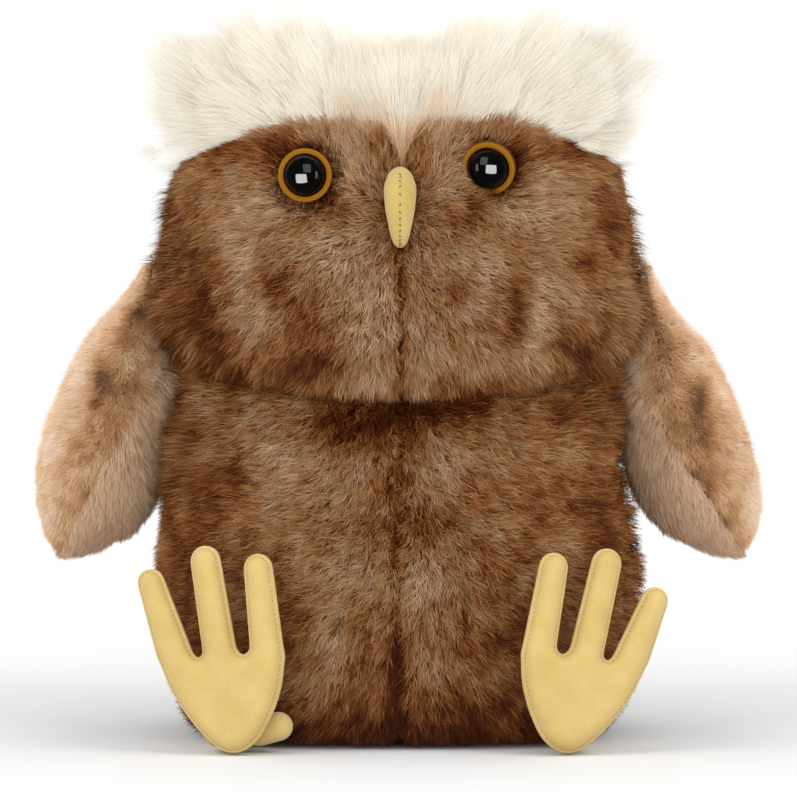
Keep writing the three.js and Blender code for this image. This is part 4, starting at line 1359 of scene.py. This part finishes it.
def make_eyes():
    """Each eye's dome with its stem, the ring round it and the washer behind the cloth."""
    gloss, amber = gloss_material(), amber_material()
    plastic = fibre_material("moulded_washer", "#CFCFCA", "#E4E4E0", scale=300, roughness=0.4)
    dome_rows, ring_rows, washer_rows = eye_rows()
    for name, eye in EYES.items():
        matrix = eye_matrix(eye)
        points, faces = lathe([(radius, depth - EYE_PROUD) for radius, depth in dome_rows])
        dome = mesh_piece(f"eye_{name}_dome", placed(points, matrix), faces, gloss)
        declare(dome, "torso", ["eye_" + name])
        make_eye_cards(name, dome)
        points, faces = lathe([(radius, depth - EYE_PROUD) for radius, depth in ring_rows], closed=True)
        spots = np.stack([
            (np.hypot(points[:, 0], points[:, 2]) - BORE) / (RING_RADIUS - BORE),
            np.abs(np.arctan2(points[:, 2], points[:, 0])) / math.pi,
        ], axis=-1)
        spots = np.clip(spots, RING_MAP_EDGE, 1 - RING_MAP_EDGE)
        ring = mesh_piece(f"eye_{name}_ring", placed(points, matrix), faces, amber, spots)
        declare(ring, "torso", ["eye_ring_" + name])
        points, faces = lathe(washer_rows, closed=True)
        washer = mesh_piece(f"eye_{name}_washer", placed(points, matrix), faces, plastic)
        declare(washer, "torso", ["eye_washer_" + name])


def suede_material(name, tones):
    """Brushed cloth with fine and broad patches in its tone."""
    material, nodes, links, shader = new_material(name, roughness=0.85, specular=0.2)
    shader.inputs["Sheen Weight"].default_value = 0.25
    shader.inputs["Sheen Roughness"].default_value = 0.5
    coordinates = nodes.new("ShaderNodeTexCoord")
    fine, broad = cloud(nodes, scale=2600, detail=3), cloud(nodes, scale=90, detail=3)
    for clouds in (fine, broad):
        links.new(coordinates.outputs["Object"], clouds.inputs["Vector"])
    blend = nodes.new("ShaderNodeMix")
    blend.inputs["Factor"].default_value = 0.45
    links.new(broad.outputs["Fac"], blend.inputs["A"])
    links.new(fine.outputs["Fac"], blend.inputs["B"])
    tone = ramp(nodes, links, blend.outputs["Result"], list(zip((0.25, 0.5, 0.75), tones)))
    links.new(tone, shader.inputs["Base Color"])
    roughen(nodes, links, fine.outputs["Fac"], shader, strength=0.35, distance=0.2 * METRE)
    return material


BEAK_SEAM_DEPTH = 0.3
BEAK_STITCHES = 14
BEAK_STITCH_SPAN = (0.28, 0.92)  # of the way down the beak
BEAK_SLANTS = (-30, 40)  # of every other stitch, and of those between
BEAK_RINGS = 60
BEAK_SIDES = 64
STITCH_SIZES = {"beak": (1.1, 0.16), "foot": (0.6, 0.15)}  # length and radius
BEAD_SIDES = 6
BEAD_ROWS = 5


def beak_face(share, turn):
    """A place on the beak, so far down it, turned from its own left side towards the face."""
    along, wide, deep = curve_through(BEAK_SHARES, np.array([share]))[0]
    z = BEAK_TOP - along * BEAK_LENGTH
    front = -float(face_depth_at(0, z)) - BEAK_PROUD * deep
    x = wide * BEAK_WIDTH / 2 * np.cos(turn)
    y = front + deep * BEAK_DEPTH / 2 * (1 + np.sin(turn))
    groove = BEAK_SEAM_DEPTH * bell(x, BEAK_SEAM_DEPTH) * (np.sin(turn) < 0)
    return stack(x, y + groove, z)


def make_beak(suede, thread):
    """The beak, and the stitches in the groove down its middle."""
    turns = np.arange(BEAK_SIDES) / BEAK_SIDES * FULL_TURN
    rings = [beak_face(share, turns) for share in np.linspace(0, 1, BEAK_RINGS)]
    rings = [rings[0].mean(0, keepdims=True), *rings, rings[-1].mean(0, keepdims=True)]
    declare(mesh_piece("beak_suede", *lofted(rings), suede), "torso", ["beak"])
    places, ways = [], []
    for number, share in enumerate(np.linspace(*BEAK_STITCH_SPAN, BEAK_STITCHES)):
        slant = math.radians(BEAK_SLANTS[number % 2])
        places.append(beak_face(share, -math.pi / 2) - np.array([0, BEAK_SEAM_DEPTH, 0]))
        ways.append((math.cos(slant), 0, math.sin(slant)))
    places, ways = np.array(places), np.array(ways)
    out = np.broadcast_to([0.0, -1.0, 0.0], places.shape)
    piece = mesh_piece("beak_stitches", *beads(places, ways, out, *STITCH_SIZES["beak"]), thread)
    declare(piece, "torso", [])


def beads(places, ways, out, length, radius):
    """Stitches: small beads drawn out along their ways, half sunk into what they hold."""
    turns = np.arange(BEAD_SIDES) / BEAD_SIDES * FULL_TURN
    rings = []
    for rise in np.linspace(0, math.pi, BEAD_ROWS):
        ring = stack(math.cos(rise), math.sin(rise) * np.cos(turns), math.sin(rise) * np.sin(turns))
        rings.append(ring[:1] if rise in (0, math.pi) else ring)
    shape, faces = lofted(rings)
    ways = unit(ways - out * dot(ways, out))
    side = np.cross(out, ways)
    along, across, up = (shape[:, i, None] for i in range(3))
    points = places[:, None, :] + (
        along * ways[:, None, :] * length / 2
        + (across * side[:, None, :] + up * out[:, None, :]) * radius
    )
    starts = np.arange(len(places))[:, None, None] * len(shape)
    return points.reshape(-1, 3), (faces[None] + starts).reshape(-1, 3)


# The feet, each in the frame of its heel: x across, y from the sole to the upper, z up
HEEL_INSET = 29
HEEL_STANDOFF = 7.5
HEEL_LIFT = 0.9
FOOT_THICKNESS = 9
FOOT_LEAN = 5
FOOT_YAW = 12
FOOT_ROLL = {"left": 7, "right": 3}
PALM_WIDTH = 40
PALM_HEIGHT = 33
PALM_SHARES = [
    (0.6, 0.88), (0.52, 0.64), (0.37, 0.34), (0.21, 0.12), (0.1, 0.02),
    (-0.02, 0), (-0.15, 0.08), (-0.28, 0.3), (-0.38, 0.6), (-0.42, 0.9),
]
TOE_REACH = 61
TOE_HALF_WIDTH = 5.4
# Each row is a toe from the outer one in: base across and up, tip across and up, and its half widths there
TOE_SHARES = [
    (0.49, 0.54, 0.66, 0.9, 1.04, 0.8), (0.11, 0.53, 0.205, 1, 1, 0.89),
    (-0.275, 0.54, -0.225, 0.95, 0.98, 0.85),
]
CROTCH_DROP = 4
OUTER_TOE_CUT = {"left": 4, "right": 0}
SUEDE_THICKNESS = 0.8
LEAST_HOLLOW = 0.04  # half of what is left between the sole and the upper at their edge
SEAM_HALF_THICKNESS = 0.75  # of the foot at its sewn edge
SEAM_WIDTH = 0.9  # from the edge to where the stuffing starts
PILLOW_WIDTH = 4  # from there to where the foot has its full thickness
GATHER_DEPTH = 0.42  # of the folds that run out from between the toes
GATHER_COUNT = 9
GATHER_REACH = 2.5
GATHER_WIDTH = 2.6
CROTCH_DIP = 0.5
CROTCH_DIP_WIDTH = 3
FOOT_LUMPS = 0.1
OUTLINE_PITCH = 0.8
TOE_STEPS = 25
CROTCH_STEPS = 13
PALM_STEPS = 50
EDGE_DEPTHS = (0.35, 0.8, 1.15, 1.6, 2.2, 3)  # of the rows of points along a foot's edge
EDGE_SHARE = 0.97  # of its depth that a point of such a row keeps at least
GRID_PITCH = 1.1
GRID_DEPTH = 3.7
STITCH_INSET = 1.0
STITCH_PITCH = 1.5
STITCH_SINK = 0.02
REAR_TOE_RADIUS = 4.8
REAR_TOE_LENGTH = 16
REAR_TOE_LIFT = {"left": 72, "right": 14}  # the left one is folded up behind its foot
REAR_TOE_INSET = 0.5
REAR_TOE_TAPER = 0.97
REAR_TOE_STEPS = 13
REAR_TOE_SIDES = 48
REAR_TOE_SEAM = 0.035
REAR_TOE_SEAM_WIDTH = 0.09
REAR_TOE_LUMPS = 0.02
LEG_RADIUS = 6
LEG_LENGTH = 34
LEG_OUTSET = 7
LEG_SHARES = [(0, 0.86), (0.2, 1), (0.6, 0.97), (1, 0.8)]
LEG_FOLDS = 4
LEG_FOLD_DEPTH = 0.03
LEG_STEPS = 40
LEG_SIDES = 40
SEAT_GAP = 0.3


def foot_outline(name, side):
    """The outline of a foot that stands on its heel, toes up, and the low points between its toes."""
    def place(across, z):
        return np.array([side * across * PALM_WIDTH, z])
    palm = [place(across, up * PALM_HEIGHT) for across, up in PALM_SHARES]
    points, crotches = [palm[-1]], []
    for index in reversed(range(len(TOE_SHARES))):
        base_across, base_up, tip_across, tip_up, base_wide, tip_wide = TOE_SHARES[index]
        base, tip = place(base_across, base_up * TOE_REACH), place(tip_across, tip_up * TOE_REACH)
        along = unit(tip - base)
        tip = tip - along * (OUTER_TOE_CUT[name] if index == 0 else 0)
        across = side * np.array([-along[1], along[0]])
        rise = base + across * base_wide * TOE_HALF_WIDTH
        if index + 1 < len(TOE_SHARES):
            last = points[-1]
            low = np.array([(last[0] + rise[0]) / 2, min(last[1], rise[1]) - CROTCH_DROP])
            t = np.linspace(0, 1, CROTCH_STEPS)[1:, None]
            points += list(last * (1 - t) ** 2 + 2 * low * t * (1 - t) + rise * t**2)
            crotches.append((last + 2 * low + rise) / 4)
        else:
            points.append(rise)
        for turn in np.linspace(0, math.pi, TOE_STEPS):
            out = across * math.cos(turn) + along * math.sin(turn)
            points.append(tip + tip_wide * TOE_HALF_WIDTH * out)
        points.append(base - across * base_wide * TOE_HALF_WIDTH)
    points += list(curve_through(palm, np.linspace(0, 1, PALM_STEPS))[:-1])
    return evenly(np.array(points), OUTLINE_PITCH, smoothing=2), np.array(crotches)


def evenly(points, pitch, smoothing=0):
    """A closed outline with its points about one pitch apart."""
    closed = np.concatenate([points, points[:1]])
    along = np.concatenate([[0], np.cumsum(np.linalg.norm(np.diff(closed, axis=0), axis=1))])
    count = round(along[-1] / pitch)
    at = np.arange(count) / count * along[-1]
    result = np.stack([np.interp(at, along, closed[:, i]) for i in range(2)], axis=-1)
    for _ in range(smoothing):
        result = (np.roll(result, 1, axis=0) + 2 * result + np.roll(result, -1, axis=0)) / 4
    return result


def off_outline(points, outline):
    """How far each point lies from an outline."""
    way = np.roll(outline, -1, axis=0) - outline
    to = points[:, None] - outline[None]
    share = np.clip(np.sum(to * way, axis=-1) / np.sum(way * way, axis=-1), 0, 1)
    return np.linalg.norm(to - share[..., None] * way, axis=-1).min(axis=1)


def inwards(outline):
    """The directions into an outline at its points."""
    ahead = unit(np.roll(outline, -1, axis=0) - np.roll(outline, 1, axis=0))
    x, z = outline.T
    turning = np.sum(x * np.roll(z, -1) - z * np.roll(x, -1))
    return math.copysign(1, turning) * np.stack([-ahead[:, 1], ahead[:, 0]], axis=-1)


def foot_half(far, points, crotches):
    """Half a foot's thickness, so far from its edge: a seam round a pillow that is gathered by the toes."""
    full = FOOT_THICKNESS / 2 - SEAM_HALF_THICKNESS
    share = np.clip((far - SEAM_WIDTH) / PILLOW_WIDTH, 0, 1)
    half = SEAM_HALF_THICKNESS + full * np.sqrt(1 - (1 - share) ** 2)
    for x, z in crotches:
        dx, dz = points[:, 0] - x, points[:, 1] - z
        out = np.hypot(dx, dz)
        fold = 0.5 * (1 + np.cos(GATHER_COUNT * np.arctan2(dx, -dz)))
        gather = fold * bell(out - GATHER_REACH, GATHER_WIDTH) * smooth(far, 0.6, 1.8)
        half = half - GATHER_DEPTH * gather - CROTCH_DIP * bell(out, CROTCH_DIP_WIDTH) * share
    return half + FOOT_LUMPS * noise(stack(points[:, 0], 0, points[:, 1]), 9, 5) * share


def foot_sheet(outline):
    """Points over the inside of an outline, close together by its edge, and the triangles between them."""
    inner = inwards(outline)
    rows = [outline]
    for depth in EDGE_DEPTHS:
        row = outline + inner * depth
        rows.append(row[off_outline(row, outline) > EDGE_SHARE * depth])
    low, high = outline.min(0), outline.max(0)
    grid = np.meshgrid(*[np.arange(low[i], high[i], GRID_PITCH) for i in range(2)])
    grid = np.stack(grid, axis=-1).reshape(-1, 2)
    rows.append(grid[off_outline(grid, outline) > GRID_DEPTH])
    points = np.concatenate(rows)
    made = geometry.delaunay_2d_cdt(
        [Vector(point) for point in points], [], [list(range(len(outline)))], 1, 1e-4,
    )
    points, faces = (np.array([tuple(row) for row in made[i]]) for i in (0, 2))
    used, faces = np.unique(faces, return_inverse=True)
    return points[used], faces.reshape(-1, 3)


def heel_matrix(side):
    """The frame of a heel, whose z runs up and whose y runs through the foot to the belly."""
    x = side * (BODY_HALF_WIDTH - HEEL_INSET)
    place = (x, -BODY_HALF_DEPTH - HEEL_STANDOFF, FOOT_THICKNESS / 2 + HEEL_LIFT)
    return Matrix.Translation(place) @ Matrix.Rotation(math.radians(side * FOOT_YAW), 4, "Z")


def foot_matrix(name, side):
    """The frame of a foot, which leans back on its heel and rolls outwards."""
    return (
        heel_matrix(side) @ Matrix.Rotation(math.radians(-FOOT_LEAN), 4, "X")
        @ Matrix.Rotation(math.radians(side * FOOT_ROLL[name]), 4, "Y")
    )


def foot_shell(lifted, half, faces):
    """One side of a foot, a closed sheet of suede, from its points' places and its flat triangles."""
    count = len(half)
    points = np.concatenate([lifted(half), lifted(np.maximum(half - SUEDE_THICKNESS, LEAST_HOLLOW))])
    edges = np.sort(np.concatenate([faces[:, (0, 1)], faces[:, (1, 2)], faces[:, (2, 0)]]), axis=1)
    kinds, times = np.unique(edges, axis=0, return_counts=True)
    ordered = {tuple(edge) for face in faces for edge in zip(face, np.roll(face, -1))}
    rim = [edge if tuple(edge) in ordered else edge[::-1] for edge in kinds[times == 1]]
    wall = [(b, a, a + count) for a, b in rim] + [(b, a + count, b + count) for a, b in rim]
    return points, turned_out(points, np.concatenate([faces, faces[:, ::-1] + count, wall]))


def make_foot(name, side, suede, thread):
    """The sole and the upper of a foot, sewn together along its edge."""
    body = "foot_" + name
    outline, crotches = foot_outline(name, side)
    flat, faces = foot_sheet(outline)
    half = foot_half(off_outline(flat, outline), flat, crotches)
    matrix = foot_matrix(name, side)
    def lifted(y, places=flat):
        return placed(stack(places[:, 0], y, places[:, 1] - FOOT_THICKNESS / 2), matrix)
    for part, facing in (("sole", -1), ("upper", 1)):
        shell = foot_shell(lambda depth: lifted(facing * depth), half, faces)
        piece = mesh_piece(f"{body}_{part}_suede", *shell, suede)
        declare(piece, body, [f"{body}_{part}"])
    row = evenly(outline, STITCH_PITCH)
    row = row + inwards(row) * STITCH_INSET
    row = row[off_outline(row, outline) > 0.9 * STITCH_INSET]
    ahead = unit(np.roll(row, -1, axis=0) - row)
    depth = foot_half(off_outline(row, outline), row, crotches) - STITCH_SINK
    turned = np.array(matrix)[:3, :3]
    places, ways, out = [], [], []
    for facing in (-1, 1):
        places.append(lifted(facing * depth, row))
        ways.append(stack(ahead[:, 0], 0, ahead[:, 1]) @ turned.T)
        out.append(np.broadcast_to(turned @ np.array([0, facing, 0]), places[-1].shape))
    stitches = beads(*(np.concatenate(rows) for rows in (places, ways, out)), *STITCH_SIZES["foot"])
    declare(mesh_piece(body + "_topstitch", *stitches, thread), body, [])


def make_heel(name, side, suede):
    """The rear toe behind a heel, and the leg that holds the foot."""
    body = "foot_" + name
    behind = FOOT_THICKNESS / 2 + SEAT_GAP
    matrix = heel_matrix(side)
    ends = np.linspace(0, math.pi / 2, REAR_TOE_STEPS)
    rows = [(REAR_TOE_RADIUS * math.sin(t), REAR_TOE_RADIUS * (1 - math.cos(t))) for t in ends]
    rows += [(r * REAR_TOE_TAPER, REAR_TOE_LENGTH - y) for r, y in rows[::-1]]
    rows[0], rows[-1] = (0, 0), (0, REAR_TOE_LENGTH)
    points, faces = lathe(rows, REAR_TOE_SIDES)
    turn = np.arctan2(points[:, 2], points[:, 0])
    along = points[:, 1] / REAR_TOE_LENGTH
    seams = REAR_TOE_SEAM * bell(np.abs(turn) - math.pi / 2, REAR_TOE_SEAM_WIDTH)
    pinch = 1 - seams - REAR_TOE_LUMPS * np.cos(3 * turn) * along
    points = points * stack(pinch, 1, pinch)
    tilt = Matrix.Rotation(math.radians(side * (90 - REAR_TOE_LIFT[name])), 4, "Z")
    stand = Matrix(((1, 0, 0, 0), (0, 0, -1, 0), (0, 1, 0, 0), (0, 0, 0, 1)))
    root = Matrix.Translation((
        -side * REAR_TOE_INSET, behind + REAR_TOE_RADIUS, REAR_TOE_RADIUS - FOOT_THICKNESS / 2,
    ))
    toe = mesh_piece(body + "_rear_toe_suede", placed(points, matrix @ root @ stand @ tilt), faces, suede)
    declare(toe, body, [body + "_rear_toe"])

    shares = np.linspace(0, 1, LEG_STEPS)
    radius = np.interp(shares, *zip(*LEG_SHARES)) * LEG_RADIUS
    radius = radius * (1 - LEG_FOLD_DEPTH * (1 + np.cos(shares * LEG_FOLDS * FULL_TURN)) / 2)
    rows = [(0, 0), *zip(radius, shares * LEG_LENGTH), (0, LEG_LENGTH)]
    points, faces = lathe(rows, LEG_SIDES)
    root = Matrix.Translation((side * LEG_OUTSET, behind + SEAT_GAP, LEG_RADIUS - FOOT_THICKNESS / 2))
    leg = mesh_piece(f"leg_{name}_suede", placed(points, matrix @ root), faces, suede)
    declare(leg, "torso", ["leg_" + name])


BASE_SHARE = 0.985  # of the underside that the base panel covers


def base_place(turn, share):
    """A place on the underside."""
    return body_place(turn, 0 * share) * stack(share, share, 0)


def rearward(points, normals):
    """The way to the back at each place."""
    return np.broadcast_to([0.0, 1.0, 0.0], points.shape)


def make_base():
    """The panel that the toy sits on."""
    fur_piece(
        "base_panel", "torso", BROWN, base_place, (-math.pi, math.pi), (0, BASE_SHARE),
        BODY_MIDDLE, BASE_PILE, rearward, body_tint, SEEDS["base"],
    )


def fibre_material(name, low, high, scale, roughness):
    """Loose fibre, cloth, thread or moulded plastic, its colour slightly uneven."""
    material, nodes, links, shader = new_material(name, roughness, specular=0.3)
    clouds = cloud(nodes, scale, detail=6).outputs["Fac"]
    links.new(ramp(nodes, links, clouds, [(0.3, low), (0.7, high)]), shader.inputs["Base Color"])
    roughen(nodes, links, clouds, shader, strength=0.5, distance=0.5 * METRE)
    return material


def dress_inner_nodes(fibre):
    """The other stuffing and the bean pouch keep their own forms."""
    looks = {
        "stuffing": fibre,
        "bean_pouch": fibre_material("pouch_cloth", "#B5AFA2", "#D6D1C4", scale=1800, roughness=0.9),
    }
    for name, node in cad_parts.items():
        for word, material in looks.items():
            if word in name:
                node.data.materials.clear()
                node.data.materials.append(material)


FLOOR_SIZE = 12
FLOOR_GREY = (0.78, 0.78, 0.78, 1)
FLOOR_GLOW = {"From Min": 0.15, "From Max": 1.2, "To Min": 0, "To Max": 0.4}  # by how far out a place lies
WHITE = (1, 1, 1, 1)
SKY_STRENGTH = 1.0
SKY_IN_GLOSS = 0.15  # so that the eyes mirror their cards and not the sky
# Each softbox's name, place, what it faces, its size and its power
SOFTBOXES = [
    ("front_softbox", (-0.05, -1.35, 0.1), (0, 0, 0.14), (1.0, 0.8), 9),
    ("left_softbox", (-1.2, -0.9, 1.2), (0, 0, 0.12), (0.9, 0.9), 10),
    ("right_softbox", (1.2, -0.9, 1.2), (0, 0, 0.12), (0.9, 0.9), 10),
]


def make_stage():
    """A pale floor that glows more the further out it lies, a white sky and three soft lamps."""
    bpy.ops.mesh.primitive_plane_add(size=FLOOR_SIZE)
    floor = bpy.context.object
    floor.name = "floor"
    material, nodes, links, shader = new_material("pale_floor", roughness=0.9, specular=0.1)
    shader.inputs["Base Color"].default_value = FLOOR_GREY
    shader.inputs["Emission Color"].default_value = WHITE
    coordinates = nodes.new("ShaderNodeTexCoord")
    far = nodes.new("ShaderNodeVectorMath")
    far.operation = "LENGTH"
    links.new(coordinates.outputs["Object"], far.inputs[0])
    glow = nodes.new("ShaderNodeMapRange")
    glow.interpolation_type = "SMOOTHSTEP"
    for socket, value in FLOOR_GLOW.items():
        glow.inputs[socket].default_value = value
    links.new(far.outputs["Value"], glow.inputs["Value"])
    links.new(glow.outputs["Result"], shader.inputs["Emission Strength"])
    floor.data.materials.append(material)
    floor.visible_glossy = False
    world = bpy.data.worlds.new("studio")
    world.use_nodes = True
    nodes, links = world.node_tree.nodes, world.node_tree.links
    sky = nodes["Background"]
    sky.inputs["Color"].default_value = WHITE
    path = nodes.new("ShaderNodeLightPath")
    strength = nodes.new("ShaderNodeMapRange")
    strength.inputs["To Min"].default_value = SKY_STRENGTH
    strength.inputs["To Max"].default_value = SKY_IN_GLOSS
    links.new(path.outputs["Is Glossy Ray"], strength.inputs["Value"])
    links.new(strength.outputs["Result"], sky.inputs["Strength"])
    bpy.context.scene.world = world
    for box in SOFTBOXES:
        make_lamp(*box).visible_glossy = False


def make_lamp(name, place, aim, size, power):
    """A rectangular lamp that the camera doesn't see."""
    light = bpy.data.lights.new(name, "AREA")
    light.shape = "RECTANGLE"
    light.size, light.size_y = size
    light.energy = power
    lamp = bpy.data.objects.new(name, light)
    lamp.location = place
    lamp.rotation_euler = (Vector(aim) - Vector(place)).to_track_quat("-Z", "Y").to_euler()
    lamp.visible_camera = False
    bpy.context.scene.collection.objects.link(lamp)
    return lamp


def make_camera():
    """A level camera with the photograph's view."""
    data = bpy.data.cameras.new("camera")
    data.sensor_width = SENSOR_WIDTH
    data.lens = SENSOR_WIDTH * VIEW_DISTANCE / (PHOTO_SIZE * MM_PER_PIXEL)
    camera = bpy.data.objects.new("camera", data)
    x = (PHOTO_SIZE / 2 - PIXEL_X) * MM_PER_PIXEL
    z = PIXEL_Y_HEIGHT + (PIXEL_Y - PHOTO_SIZE / 2) * MM_PER_PIXEL
    camera.location = Vector((x, MIDDLE - VIEW_DISTANCE, z)) * METRE
    camera.rotation_euler = (math.radians(90), 0, 0)
    bpy.context.scene.collection.objects.link(camera)
    bpy.context.scene.camera = camera


make_camera()
make_stage()
bpy.context.scene.view_settings.view_transform = "Standard"
make_body()
make_head()
make_crown()
make_wings()
make_eyes()
suede = suede_material("yellow_suede_nap", ("#B49657", "#BFA466", "#C9B076"))
thread = fibre_material("tan_thread", "#7E6834", "#9C844A", scale=2500, roughness=0.8)
dark_thread = fibre_material("brown_thread", "#5E4A20", "#7E6A38", scale=2500, roughness=0.8)
# The beak's suede is the feet's suede painted darker: painted shade that holds its well-lit front to the
# feet's tone.
make_beak(suede_material("beak_suede_painted_shade", ("#A08A4A", "#AE9858", "#B8A366")), dark_thread)
for name, side in SIDES.items():
    make_foot(name, side, suede, thread)
    make_heel(name, side, suede)
make_base()
fibre = fibre_material("loose_fibre", "#DDDDD8", "#FAFAF6", scale=700, roughness=1)
make_wing_stuffing(fibre)
dress_inner_nodes(fibre)
